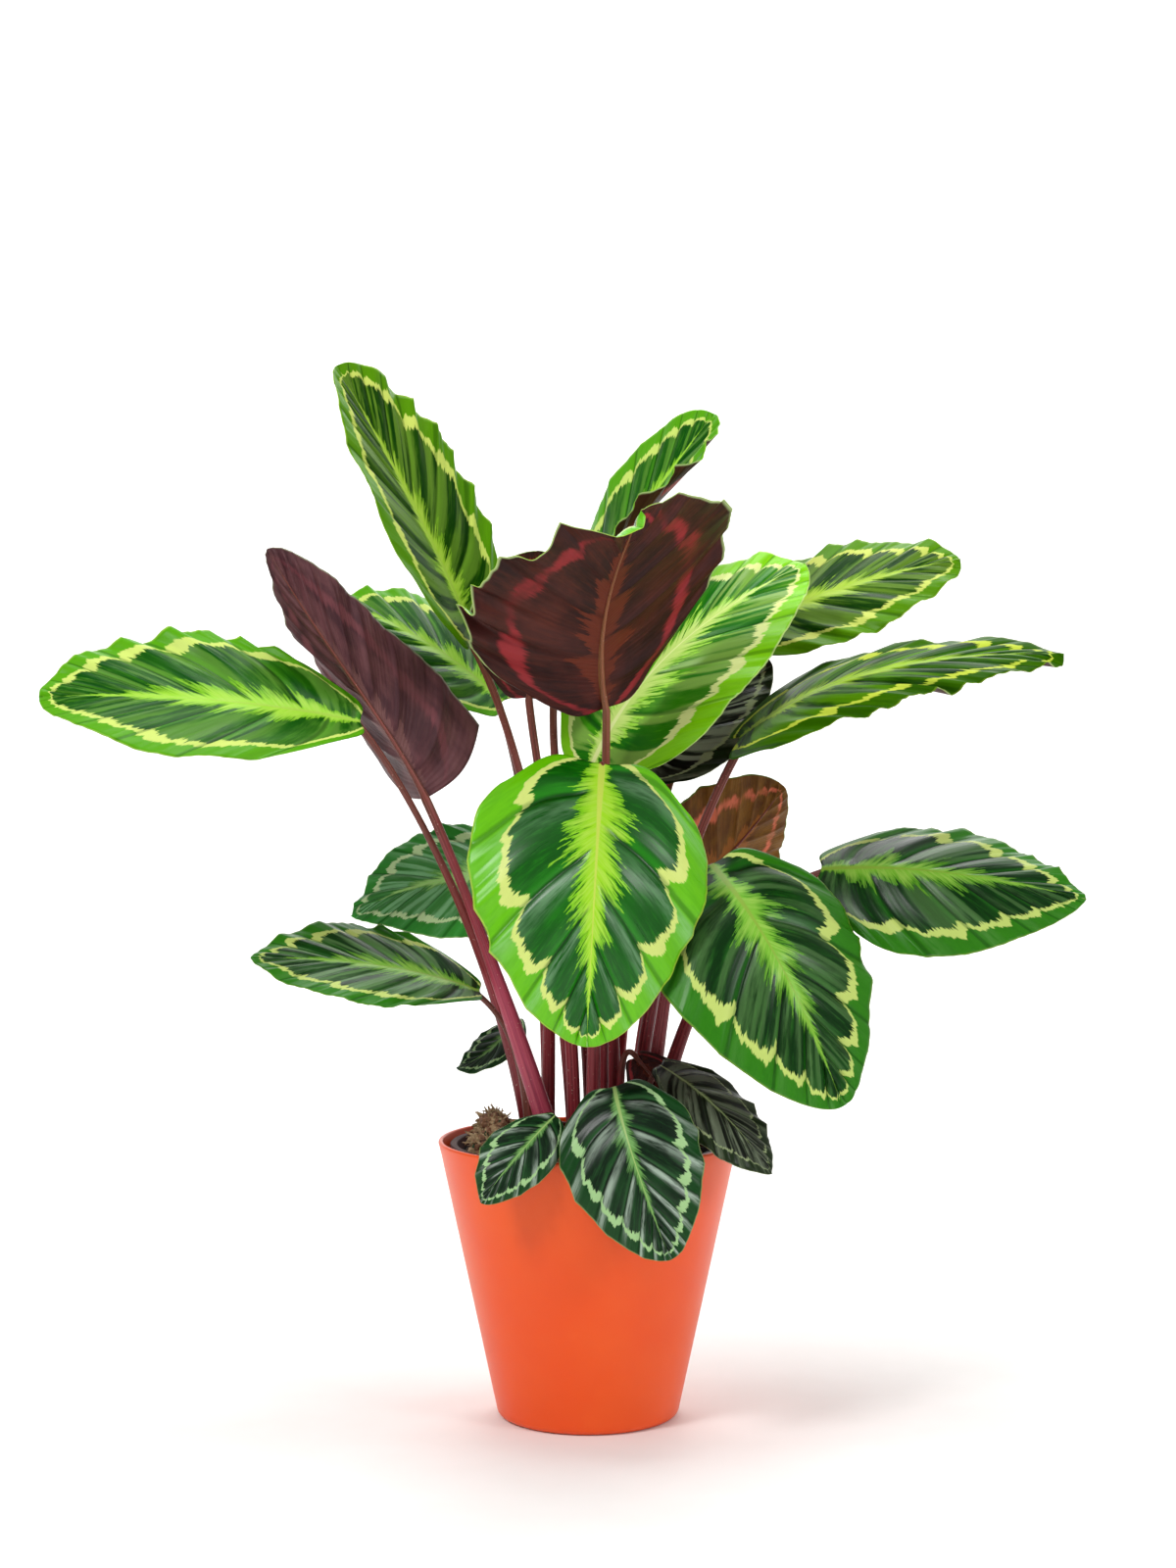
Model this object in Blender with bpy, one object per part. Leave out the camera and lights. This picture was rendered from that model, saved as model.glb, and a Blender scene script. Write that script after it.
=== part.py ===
# Potted calathea: broad patterned leaves on stalks from one crown, in a nursery pot
# that stands inside an orange cover pot.
# Metres, +Z up, origin at the middle of the cover pot's base, the front towards -Y.
# The tables below are in millimetres and degrees, as one would measure the plant.
import math

import bmesh
import bpy
import numpy as np
from mathutils import Vector

MM = 0.001

# Cover pot
POT_HEIGHT = 166.0
POT_TOP_RADIUS = 90.0
POT_BASE_RADIUS = 54.0
POT_WALL = 2.6
POT_FLOOR = 3.0
POT_RIM_BEAD = 1.4
POT_FOOT_ROUND = 5.0
POT_SIDES = 64

# Nursery pot, standing on the cover pot's floor
NURSERY_TOP_RADIUS = 80.0
NURSERY_BASE_RADIUS = 43.0
NURSERY_HEIGHT = 164.0
NURSERY_WALL = 1.2
NURSERY_LIP = 3.0
NURSERY_SIDES = 48

# Growing mix inside the nursery pot
SOIL_EDGE = 152.0
SOIL_CROWN = 160.0
HEAP_HEIGHT = 28.0
SOIL_SIDES = 40
SOIL_RINGS = 7

SEAT_GAP = 0.4
HOLE_GAP = 0.5
HOLE_SIDES = 10
HOLE_DEPTH = 26.0
STALK_DEPTH = 24.0
STALK_CLEAR = 4.0
STALK_SIDES_RESOLUTION = 1
STALK_STEPS = 11

# Leaf blade: the shape that all blades share
FIRST_VEIN = 0.10
VEIN_SWEEP = 2.6
BASE_LOBE = 0.09
ROW_CROWDING = 0.8
LAST_ROW = 0.985
BLADE_THICKNESS = 0.8
COLUMNS = (-1.0, -0.82, -0.45, 0.0, 0.45, 0.82, 1.0)
ROWS = 17
SMALL_ROWS = 12
SMALL_WIDTH = 84.0

# Each leaf: base is where the blade meets its stalk, tip its far end, face the way its
# upper side looks, and width the full width when flat. shape is how far forward the widest
# place lies (1 is half way) and how sharply the ends narrow. arch and bow push the rib off
# the straight line from base to tip, at one and two thirds of it, towards the upper side
# and to the blade's right. fold is how far the left and right halves lift from flat, and
# curl how much further they turn on the way to the margin. twist turns the tip end about
# the rib. wave and waves are the height and number of the margin's ruffles. crown is where
# the stalk leaves the mix, lean how it sets off from there, arrive how it comes in under
# the blade, reach how far it holds those two ways, and thick its radius at the sheath and
# at the top.
LEAVES = {
    "front": dict(
        base=(8, -75, 393), tip=(-1, -110, 235), face=(0, -1, 0.25), width=146,
        shape=(0.66, 0.54), arch=(36, 24), fold=(-10, 0), curl=(-34, -6),
        wave=2.0, waves=6, crown=(3, -29), lean=(0, 0, 1), arrive=(0, -0.8, 0.5),
        reach=(90, 40), thick=(4.2, 2.4),
    ),
    "right_front": dict(
        base=(72, -48, 334), tip=(145, -86, 198), face=(0.25, -1, 0.4), width=138,
        shape=(0.64, 0.56), arch=(30, 20), fold=(-6, -2), curl=(-30, -8),
        wave=1.8, waves=6, crown=(34, -12), lean=(0.15, 0, 1), arrive=(0.6, -0.7, 0.35),
        reach=(70, 36), thick=(4.6, 2.6),
    ),
    "left_far": dict(
        base=(-132, -55, 417), tip=(-311, -90, 431), face=(0, -0.63, 0.77), width=120,
        shape=(1.02, 0.6), arch=(10, 10), fold=(12, 10), curl=(-12, -14),
        wave=2.6, waves=8, crown=(-35, -1), lean=(-0.12, -0.1, 1), arrive=(-0.6, -0.2, 0.75),
        reach=(90, 60), thick=(4.2, 2.0),
    ),
    "rolled": dict(
        base=(-95, -38, 372), tip=(-185, -58, 517), face=(-0.08, 1, 0.1), width=124,
        shape=(0.5, 0.5), arch=(-3, -5), bow=(-6, 4), fold=(36, 68), curl=(30, 20),
        wave=2.4, waves=6, crown=(-20, -27), lean=(-0.3, 0, 1), arrive=(-0.42, 0, 0.9),
        reach=(70, 50), thick=(6.0, 2.8),
    ),
    "upper_left": dict(
        base=(-70, 20, 469), tip=(-150, -5, 629), face=(0.78, -0.46, 0.42), width=126,
        shape=(0.82, 0.44), arch=(6, 4), fold=(13, 14), curl=(-6, -10),
        wave=2.4, waves=8, crown=(-8, 3), lean=(-0.05, 0, 1), arrive=(-0.5, 0, 0.85),
        reach=(130, 60), thick=(4.4, 2.4),
    ),
    "left_back": dict(
        base=(-53, 48, 429), tip=(-168, 62, 494), face=(0.1, -0.45, 0.88), width=112,
        shape=(0.8, 0.58), arch=(14, 14), fold=(4, 2), curl=(-10, -8),
        wave=2.2, waves=7, crown=(-24, 18), lean=(0, 0.5, 1), arrive=(-0.3, 0.1, 0.9),
        reach=(130, 50), thick=(4.2, 2.2),
    ),
    "purple": dict(
        base=(10, -22, 425), tip=(29, -150, 533), face=(-0.33, 0.57, 0.74), width=176,
        shape=(1.05, 0.66), shape_left=(0.95, 0.52), arch=(22, 16), bow=(8, 0), fold=(10, 0), curl=(16, 6),
        wave=3.0, waves=7, crown=(8, -13), lean=(0, 0, 1), arrive=(0, -0.3, 0.95),
        reach=(120, 60), thick=(4.4, 2.4),
    ),
    "purple_back": dict(
        base=(-35, 2, 431), tip=(-30, -36, 517), face=(0.1, 0.8, 0.4), width=88,
        shape=(0.8, 0.58), arch=(2, 0), fold=(18, 18), curl=(10, 10),
        wave=1.8, waves=6, crown=(-8, -14), lean=(0, 0, 1), arrive=(-0.1, -0.1, 1),
        reach=(120, 50), thick=(4.0, 2.4),
    ),
    "upper_right": dict(
        base=(-16, 45, 470), tip=(78, 55, 607), face=(-0.82, -0.28, 0.5), width=108,
        shape=(0.95, 0.46), arch=(4, 4), twist=32, fold=(0, 12), curl=(-8, 50),
        wave=2.2, waves=7, crown=(2, 16), lean=(0, 0, 1), arrive=(0.4, 0, 0.9),
        reach=(130, 60), thick=(4.2, 2.4),
    ),
    "bright_back": dict(
        base=(3, 12, 392), tip=(133, 38, 514), face=(-0.25, -0.68, 0.68), width=124,
        shape=(0.72, 0.54), arch=(30, 18), bow=(-8, -6), fold=(0, 2), curl=(-10, -8),
        wave=2.6, waves=7, crown=(16, 2), lean=(0, 0, 1), arrive=(0.1, -0.6, 0.8),
        reach=(120, 36), thick=(4.4, 2.4),
    ),
    "right_low": dict(
        base=(141, 10, 328), tip=(295, -25, 312), face=(0, -0.7, 0.72), width=112,
        shape=(0.78, 0.7), arch=(14, 10), fold=(-10, -12), curl=(-16, -16),
        wave=1.8, waves=8, crown=(38, 3), lean=(0.25, 0, 1), arrive=(0.9, -0.1, 0.3),
        reach=(90, 60), thick=(4.6, 2.4),
    ),
    "right_mid": dict(
        base=(91, 0, 407), tip=(280, -30, 457), face=(-0.1, -0.24, 0.96), width=112,
        shape=(0.6, 0.42), arch=(31, 18), fold=(2, 0), curl=(-2, -20),
        wave=2.6, waves=10, crown=(29, 15), lean=(0.05, -0.05, 1), arrive=(0.5, 0, 0.85),
        reach=(110, 50), thick=(4.4, 2.6),
    ),
    "right_top": dict(
        base=(93, 92, 472), tip=(234, 80, 519), face=(-0.1, -0.55, 0.84), width=112,
        shape=(0.8, 0.54), arch=(12, 8), fold=(2, 2), curl=(-8, -10),
        wave=2.4, waves=7, crown=(16, 28), lean=(0.05, 0.5, 1), arrive=(0.6, 0.1, 0.75),
        reach=(150, 60), thick=(4.2, 2.2),
    ),
    "dark_back": dict(
        base=(33, 50, 387), tip=(113, 74, 456), face=(-0.4, -0.8, 0.45), width=80,
        shape=(0.72, 0.58), arch=(6, 6), fold=(4, 4), curl=(-10, -10),
        wave=1.8, waves=6, crown=(2, 31), lean=(0, 0, 1), arrive=(0.5, 0, 0.85),
        reach=(110, 40), thick=(4.2, 2.2),
    ),
    "amber": dict(
        base=(57, 70, 302), tip=(124, 90, 376), face=(-0.4, 0.8, 0.5), width=104,
        shape=(0.8, 0.54), arch=(-4, -6), fold=(6, 6), curl=(8, 8),
        wave=1.8, waves=6, crown=(30, 29), lean=(0, 0.1, 1), arrive=(0.5, 0.1, 0.85),
        reach=(60, 40), thick=(4.2, 2.2),
    ),
    "left_mid": dict(
        base=(-34, 34, 327), tip=(-144, 16, 299), face=(0.05, -0.72, 0.7), width=94,
        shape=(0.72, 0.8), arch=(10, 20), fold=(2, 2), curl=(-12, -14),
        wave=1.8, waves=7, crown=(-24, 6), lean=(0, 0, 1), arrive=(-0.5, -0.2, 0.8),
        reach=(90, 30), thick=(4.2, 2.2),
    ),
    "left_low": dict(
        base=(-64, -30, 258), tip=(-196, -55, 280), face=(0.1, -0.5, 0.86), width=82,
        shape=(1.02, 0.64), arch=(12, 8), fold=(8, 6), curl=(-12, -12),
        wave=1.8, waves=7, crown=(-34, -13), lean=(-0.05, 0, 1), arrive=(-0.75, -0.2, 0.6),
        reach=(44, 26), thick=(3.2, 1.7),
    ),
    "small_left": dict(
        base=(-44, 32, 234), tip=(-80, 14, 207), face=(-0.3, -0.55, 0.75), width=34,
        shape=(0.9, 0.7), arch=(4, 2), bow=(-10, -14), fold=(4, 4), curl=(-8, -8),
        wave=1.0, waves=4, crown=(-36, 16), lean=(0, 0, 1), arrive=(-0.4, -0.2, 0.8),
        reach=(40, 16), thick=(3.2, 1.5),
    ),
    "rim_left": dict(
        base=(-19, -74, 191), tip=(-61, -97, 145), face=(0.15, -0.85, 0.5), width=40,
        shape=(0.85, 0.58), arch=(12, 10), fold=(2, 2), curl=(-14, -14),
        wave=1.4, waves=5, crown=(-8, -38), lean=(0, -0.2, 1), arrive=(-0.1, -0.8, 0.6),
        reach=(12, 12), thick=(3.0, 1.6),
    ),
    "rim_front": dict(
        base=(15, -78, 208), tip=(46, -116, 116), face=(-0.25, -1, 0.35), width=84,
        shape=(0.72, 0.56), arch=(24, 12), fold=(-10, 0), curl=(-30, -8),
        wave=1.2, waves=5, crown=(13, -41), lean=(0, -0.15, 1), arrive=(0, -0.8, 0.6),
        reach=(18, 14), thick=(3.2, 1.9),
    ),
    "rim_right": dict(
        base=(42, -53, 217), tip=(106, -72, 157), face=(0.5, -0.6, 0.6), width=54,
        shape=(0.9, 0.62), arch=(10, 8), fold=(2, -4), curl=(-10, -20),
        wave=1.6, waves=6, crown=(30, -42), lean=(0, -0.3, 1), arrive=(0.6, -0.3, 0.7),
        reach=(24, 14), thick=(3.2, 1.8),
    ),
    "rim_purple": dict(
        base=(28, -24, 218), tip=(69, -38, 168), face=(-0.5, 0.8, 0.2), width=40,
        shape=(0.85, 0.6), arch=(-4, -4), fold=(4, 4), curl=(6, 6),
        wave=1.2, waves=5, crown=(19, -18), lean=(0, 0, 1), arrive=(0.65, -0.28, -0.7),
        reach=(40, 14), thick=(3.0, 1.8),
    ),
}

COLOURS = {
    "pot": ((0.85, 0.20, 0.06), 0.45),
    "nursery": ((0.02, 0.015, 0.012), 0.55),
    "soil": ((0.10, 0.06, 0.035), 0.95),
    "blade": ((0.05, 0.22, 0.03), 0.35),
    "stalk": ((0.20, 0.03, 0.03), 0.45),
}


def unit(vector):
    return vector / np.linalg.norm(vector, axis=-1, keepdims=True)


def smooth(low, high, value):
    share = np.clip((value - low) / (high - low), 0.0, 1.0)
    return share * share * (3.0 - 2.0 * share)


def outline(leaf, station, across):
    # Share of the half width at a station along the blade, 0 at the base and 1 at the tip.
    # shape_left holds for the left half where the halves differ.
    left, right = leaf.get("shape_left", leaf["shape"]), leaf["shape"]
    widest = np.where(across < 0, left[0], right[0])
    narrowing = np.where(across < 0, left[1], right[1])
    return np.sin(np.pi * np.clip(station, 0.0, 1.0) ** widest) ** narrowing


def vein_end(vein):
    # Station where the side vein that leaves the rib at share `vein` meets the margin.
    return FIRST_VEIN + (1.0 - FIRST_VEIN) * (1.0 - (1.0 - vein) ** VEIN_SWEEP)


def flat_blade(leaf, vein, across):
    # Place in the flat blade, in shares of its length and half width. Lines of equal
    # `vein` follow the side veins, which sweep forward; the first one is the basal margin.
    side = np.abs(across)
    bend = (1.0 - vein) ** 6
    forward = (1.0 - bend) * side + bend * side**2
    station = vein + (vein_end(vein) - vein) * forward
    lobe = BASE_LOBE * (1.3 - leaf["shape"][0])
    station = station - lobe * (1.0 - vein) ** 4 * np.sin(np.pi * side) ** 2
    return station, outline(leaf, vein_end(vein), across) * side


def cubic(points, share):
    share = np.asarray(share, float)[..., None]
    rest = 1.0 - share
    a, b, c, d = points
    place = rest**3 * a + 3 * rest**2 * share * b + 3 * rest * share**2 * c + share**3 * d
    slope = 3 * rest**2 * (b - a) + 6 * rest * share * (c - b) + 3 * share**2 * (d - c)
    return place, slope


def rib_points(leaf):
    # Control points of the rib, a cubic curve from base to tip.
    base, tip = np.array(leaf["base"], float), np.array(leaf["tip"], float)
    along = tip - base
    heading = unit(along)
    up = np.array(leaf["face"], float)
    up = unit(up - heading * (up @ heading))
    right = np.cross(heading, up)
    bow = leaf.get("bow", (0, 0))
    return [
        base,
        base + along / 3 + up * leaf["arch"][0] + right * bow[0],
        base + along * 2 / 3 + up * leaf["arch"][1] + right * bow[1],
        tip,
    ]


def rib_length(leaf):
    place, _ = cubic(rib_points(leaf), np.linspace(0, 1, 65))
    return float(np.linalg.norm(np.diff(place, axis=0), axis=1).sum())


def rib_frames(leaf, station):
    # Place, heading, upper side and right side of the rib at each station, which may lie a
    # little behind the base.
    points = rib_points(leaf)
    shares = np.linspace(0, 1, 129)
    place, slope = cubic(points, shares)
    steps = np.linalg.norm(np.diff(place, axis=0), axis=1)
    reached = np.concatenate([[0], np.cumsum(steps)])
    length = reached[-1]
    share = np.interp(np.clip(station, 0, 1) * length, reached, shares)
    place, slope = cubic(points, share)
    heading = unit(slope)
    place = place + heading * (np.minimum(station, 0) * length)[..., None]
    face = unit(np.array(leaf["face"], float))
    up = unit(face - heading * (heading @ face)[..., None])
    right = np.cross(heading, up)
    turn = np.radians(leaf.get("twist", 0.0)) * np.clip(station, 0, 1)[..., None]
    return place, heading, up * np.cos(turn) + right * np.sin(turn), (
        right * np.cos(turn) - up * np.sin(turn)
    )


def blade_surface(leaf, vein, across, seed):
    # Points of the blade's middle surface, for arrays of vein and across of one shape.
    station, side = flat_blade(leaf, vein, across)
    place, _, up, right = rib_frames(leaf, station)
    half = leaf["width"] / 2
    distance = side * half
    sign = np.sign(across)
    fold = np.radians(np.where(across < 0, leaf["fold"][0], leaf["fold"][1]))
    curl = np.radians(np.where(across < 0, leaf["curl"][0], leaf["curl"][1]))
    curl = np.where(np.abs(curl) < 1e-3, 1e-3, curl)
    turn = fold + curl * distance / half
    sideways = (np.sin(turn) - np.sin(fold)) * half / curl
    upwards = (np.cos(fold) - np.cos(turn)) * half / curl
    rng = np.random.default_rng(seed)
    phase = rng.uniform(0, 2 * np.pi, 4)
    swell = rng.uniform(0.75, 1.25, 2)
    left = across < 0
    ruffle = 2 * np.pi * leaf["waves"] * vein_end(vein)
    wave = np.where(left, swell[0], swell[1]) * np.sin(ruffle + np.where(left, phase[0], phase[1]))
    slow = 0.7 * np.sin(ruffle * 0.37 + np.where(left, phase[2], phase[3]))
    ends = smooth(0.0, 0.16, vein) * (1.0 - 0.6 * smooth(0.85, 1.0, vein))
    lift = leaf["wave"] * (wave + slow) * np.abs(across) ** 2.4 * ends
    normal_side = -np.sin(turn) * sign
    point = place + right * (sign * sideways)[..., None] + up * upwards[..., None]
    return point + (right * normal_side[..., None] + up * np.cos(turn)[..., None]) * lift[..., None]


def grid_normals(points):
    along = np.gradient(points, axis=0)
    across = np.gradient(points, axis=1)
    return unit(np.cross(across, along))


def link(name, mesh, finish):
    node = bpy.data.objects.new(name, mesh)
    bpy.context.scene.collection.objects.link(node)
    node.data.materials.append(material(finish))
    return node


def material(finish):
    made = bpy.data.materials.get(finish)
    if made is None:
        colour, roughness = COLOURS[finish]
        made = bpy.data.materials.new(finish)
        made.use_nodes = True
        shader = made.node_tree.nodes["Principled BSDF"]
        shader.inputs["Base Color"].default_value = (*colour, 1.0)
        shader.inputs["Roughness"].default_value = roughness
        made.diffuse_color = (*colour, 1.0)
    return made


def closed_sheet(name, upper, lower, upper_tip, lower_tip):
    # A thin solid between two like grids of points that both run to a tip, split into
    # triangles alike on both faces.
    rows, columns = upper.shape[:2]
    mesh = bpy.data.meshes.new(name)
    shape = bmesh.new()
    top = [[shape.verts.new(p * MM) for p in row] for row in upper]
    under = [[shape.verts.new(p * MM) for p in row] for row in lower]
    ends = shape.verts.new(upper_tip * MM), shape.verts.new(lower_tip * MM)
    for i in range(rows - 1):
        for j in range(columns - 1):
            leaning = j >= columns // 2
            for grid, outward in ((top, True), (under, False)):
                a, b, c, d = grid[i][j], grid[i][j + 1], grid[i + 1][j + 1], grid[i + 1][j]
                pair = ((a, b, c), (a, c, d)) if leaning else ((a, b, d), (b, c, d))
                for corners in pair:
                    shape.faces.new(corners if outward else corners[::-1])
    for j in range(columns - 1):
        shape.faces.new((top[-1][j], top[-1][j + 1], ends[0]))
        shape.faces.new((under[-1][j + 1], under[-1][j], ends[1]))
    around = [(top[0][j], under[0][j]) for j in range(columns)]
    around += [(top[i][-1], under[i][-1]) for i in range(1, rows)]
    around += [ends]
    around += [(top[i][0], under[i][0]) for i in range(rows - 1, 0, -1)]
    for (a, b), (c, d) in zip(around, around[1:] + around[:1]):
        shape.faces.new((a, b, d))
        shape.faces.new((a, d, c))
    shape.to_mesh(mesh)
    shape.free()
    return mesh


def blade(name, leaf, seed):
    rows = SMALL_ROWS if leaf["width"] < SMALL_WIDTH else ROWS
    steps = np.linspace(0, 1, rows + 1)[:-1]
    vein = (1.0 - (1.0 - steps) ** ROW_CROWDING) * LAST_ROW
    veins, across = np.meshgrid(vein, np.array(COLUMNS), indexing="ij")
    middle = blade_surface(leaf, veins, across, seed)
    normal = grid_normals(middle)
    tip, _, tip_up, _ = rib_frames(leaf, np.array([1.0]))
    half = BLADE_THICKNESS / 2
    mesh = closed_sheet(
        name,
        middle + normal * half,
        middle - normal * half,
        tip[0] + tip_up[0] * half,
        tip[0] - tip_up[0] * half,
    )
    node = link(name, mesh, "blade")
    mesh.shade_smooth()
    return node


def stalk_path(leaf):
    # Centre line of the stalk: upright in the mix, then one curve to just under the
    # blade's base.
    base, _, up, _ = rib_frames(leaf, np.array([0.0]))
    arrival = unit(np.array(leaf["arrive"], float))
    reach_up = leaf["thick"][1] * math.sqrt(max(0.0, 1.0 - float(arrival @ up[0]) ** 2))
    end = base[0] - up[0] * (BLADE_THICKNESS / 2 + SEAT_GAP + reach_up)
    foot = np.array([*leaf["crown"], SOIL_CROWN + STALK_CLEAR], float)
    lean = unit(np.array(leaf["lean"], float))
    set_off, come_in = leaf["reach"]
    points = [foot, foot + lean * set_off, end - arrival * come_in, end]
    line, _ = cubic(points, np.linspace(0, 1, STALK_STEPS))
    buried = foot - np.array([0, 0, STALK_CLEAR + STALK_DEPTH])
    return np.vstack([buried, line])


def stalk(name, leaf):
    path = stalk_path(leaf)
    curve = bpy.data.curves.new(name, "CURVE")
    curve.dimensions = "3D"
    curve.bevel_depth = MM
    curve.bevel_resolution = STALK_SIDES_RESOLUTION
    curve.use_fill_caps = True
    spline = curve.splines.new("POLY")
    spline.points.add(len(path) - 1)
    sheath, top = leaf["thick"]
    travelled = np.linspace(0, 1, STALK_STEPS)
    radius = top + (sheath - top) * (1.0 - smooth(0.05, 0.75, travelled))
    radius = [radius[0], *radius]
    for point, place, thickness in zip(spline.points, path, radius):
        point.co = (*(place * MM), 1.0)
        point.radius = thickness
    return link(name, curve, "stalk")


def turned(name, profile, sides, finish):
    # A solid of revolution about Z from (radius, height) corners, listed up the outside and
    # down the inside, with both ends on the axis.
    shape = bmesh.new()
    rings = []
    for radius, height in profile:
        if radius < 1e-6:
            rings.append([shape.verts.new((0, 0, height * MM))])
            continue
        ring = []
        for k in range(sides):
            angle = 2 * math.pi * k / sides
            spot = (radius * math.cos(angle) * MM, radius * math.sin(angle) * MM, height * MM)
            ring.append(shape.verts.new(spot))
        rings.append(ring)
    for lower, upper in zip(rings, rings[1:]):
        for k in range(sides):
            n = (k + 1) % sides
            if len(lower) == 1:
                shape.faces.new((lower[0], upper[n], upper[k]))
            elif len(upper) == 1:
                shape.faces.new((lower[k], lower[n], upper[0]))
            else:
                shape.faces.new((lower[k], lower[n], upper[n], upper[k]))
    mesh = bpy.data.meshes.new(name)
    shape.to_mesh(mesh)
    shape.free()
    node = link(name, mesh, finish)
    mesh.shade_smooth()
    mesh.set_sharp_from_angle(angle=math.radians(40))
    return node


def arc(centre, radius, start, stop, steps):
    # Points of a round stretch of a profile, angles in degrees from the outward radius.
    return [
        (
            centre[0] + radius * math.cos(math.radians(start + (stop - start) * k / steps)),
            centre[1] + radius * math.sin(math.radians(start + (stop - start) * k / steps)),
        )
        for k in range(steps + 1)
    ]


def pot_outer_radius(height):
    return POT_BASE_RADIUS + (POT_TOP_RADIUS - POT_BASE_RADIUS) * height / POT_HEIGHT


def cover_pot():
    foot = POT_FOOT_ROUND
    profile = [(0.0, 0.0)]
    profile += arc((POT_BASE_RADIUS + 1.0 - foot, foot), foot, -90, -10, 4)
    profile += arc((POT_TOP_RADIUS - POT_RIM_BEAD, POT_HEIGHT - POT_RIM_BEAD), POT_RIM_BEAD, -10, 180, 6)
    inside_top = POT_HEIGHT - 2 * POT_RIM_BEAD
    profile += [(pot_outer_radius(inside_top) - POT_WALL, inside_top)]
    profile += [(pot_outer_radius(POT_FLOOR) - POT_WALL, POT_FLOOR), (0.0, POT_FLOOR)]
    return turned("cover_pot", profile, POT_SIDES, "pot")


def nursery_radius(height):
    low = POT_FLOOR + SEAT_GAP
    share = (height - low) / (NURSERY_HEIGHT - low)
    return NURSERY_BASE_RADIUS + (NURSERY_TOP_RADIUS - NURSERY_BASE_RADIUS) * share


def nursery_pot():
    low, high = POT_FLOOR + SEAT_GAP, NURSERY_HEIGHT
    lip_low = high - 2 * NURSERY_LIP
    outer = nursery_radius
    profile = [
        (0.0, low),
        (outer(low), low),
        (outer(lip_low), lip_low),
        (outer(lip_low) + NURSERY_LIP, lip_low),
        (outer(high) + NURSERY_LIP, high),
        (outer(high) - NURSERY_WALL, high),
        (outer(low + NURSERY_WALL) - NURSERY_WALL, low + NURSERY_WALL),
        (0.0, low + NURSERY_WALL),
    ]
    return turned("nursery_pot", profile, NURSERY_SIDES, "nursery")


def soil_height(x, y):
    # Mounded towards the crown, with a heap of bark and moss at the left.
    away = math.hypot(x, y) / (NURSERY_TOP_RADIUS - NURSERY_WALL)
    level = SOIL_CROWN + (SOIL_EDGE - SOIL_CROWN) * away**2
    heap = math.exp(-(((x + 57) / 14) ** 2 + ((y + 15) / 20) ** 2))
    lumps = 1.2 * math.sin(0.21 * x + 1.3) * math.sin(0.17 * y + 0.4)
    return level + HEAP_HEIGHT * heap + lumps * min(1.0, away * 2)


def soil_block():
    low = POT_FLOOR + SEAT_GAP + NURSERY_WALL + SEAT_GAP
    shape = bmesh.new()
    under = shape.verts.new((0, 0, low * MM))
    middle = shape.verts.new((0, 0, soil_height(0, 0) * MM))
    foot, rings = [], []
    top_radius = nursery_radius(SOIL_EDGE) - NURSERY_WALL - SEAT_GAP * 1.6
    foot_radius = nursery_radius(low) - NURSERY_WALL - SEAT_GAP * 1.6
    for k in range(SOIL_SIDES):
        angle = 2 * math.pi * k / SOIL_SIDES
        foot.append(shape.verts.new(
            (foot_radius * math.cos(angle) * MM, foot_radius * math.sin(angle) * MM, low * MM)))
    for i in range(1, SOIL_RINGS + 1):
        ring = []
        for k in range(SOIL_SIDES):
            angle = 2 * math.pi * k / SOIL_SIDES
            x = top_radius * i / SOIL_RINGS * math.cos(angle)
            y = top_radius * i / SOIL_RINGS * math.sin(angle)
            height = SOIL_EDGE if i == SOIL_RINGS else soil_height(x, y)
            ring.append(shape.verts.new((x * MM, y * MM, height * MM)))
        rings.append(ring)
    for k in range(SOIL_SIDES):
        n = (k + 1) % SOIL_SIDES
        shape.faces.new((under, foot[n], foot[k]))
        shape.faces.new((foot[k], foot[n], rings[-1][n], rings[-1][k]))
        shape.faces.new((middle, rings[0][k], rings[0][n]))
        for inner, outer in zip(rings, rings[1:]):
            shape.faces.new((inner[k], outer[k], outer[n]))
            shape.faces.new((inner[k], outer[n], inner[n]))
    mesh = bpy.data.meshes.new("soil")
    shape.to_mesh(mesh)
    shape.free()
    return link("soil", mesh, "soil")


def cut_stalk_holes(soil):
    # One upright hole for each stalk, all in one cutter mesh.
    shape = bmesh.new()
    for leaf in LEAVES.values():
        x, y = leaf["crown"]
        low, high = SOIL_CROWN - HOLE_DEPTH, SOIL_CROWN + HOLE_DEPTH
        made = bmesh.ops.create_cone(
            shape,
            cap_ends=True,
            segments=HOLE_SIDES,
            radius1=(leaf["thick"][0] / math.cos(math.pi / HOLE_SIDES) + HOLE_GAP) * MM,
            radius2=(leaf["thick"][0] / math.cos(math.pi / HOLE_SIDES) + HOLE_GAP) * MM,
            depth=(high - low) * MM,
        )
        bmesh.ops.translate(
            shape, verts=made["verts"], vec=Vector((x, y, (low + high) / 2)) * MM
        )
    mesh = bpy.data.meshes.new("stalk_holes")
    shape.to_mesh(mesh)
    shape.free()
    cutter = link("stalk_holes", mesh, "soil")
    cutter.hide_render = True
    cutter.display_type = "WIRE"
    cut = soil.modifiers.new("stalk_holes", "BOOLEAN")
    cut.operation = "DIFFERENCE"
    cut.object = cutter


def build():
    for old in list(bpy.data.objects):
        bpy.data.objects.remove(old)
    cover_pot()
    nursery_pot()
    cut_stalk_holes(soil_block())
    for seed, (name, leaf) in enumerate(LEAVES.items(), start=1):
        blade("leaf_" + name, leaf, seed)
        stalk("stalk_" + name, leaf)


build()
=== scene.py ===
# Looks of the potted calathea: finer leaves, stalks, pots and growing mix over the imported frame.
# Lengths in the dictionaries are millimetres and angles degrees; mm turns them into metres.
import math

import bmesh
import bpy
import numpy as np
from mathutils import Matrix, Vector, noise


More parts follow.
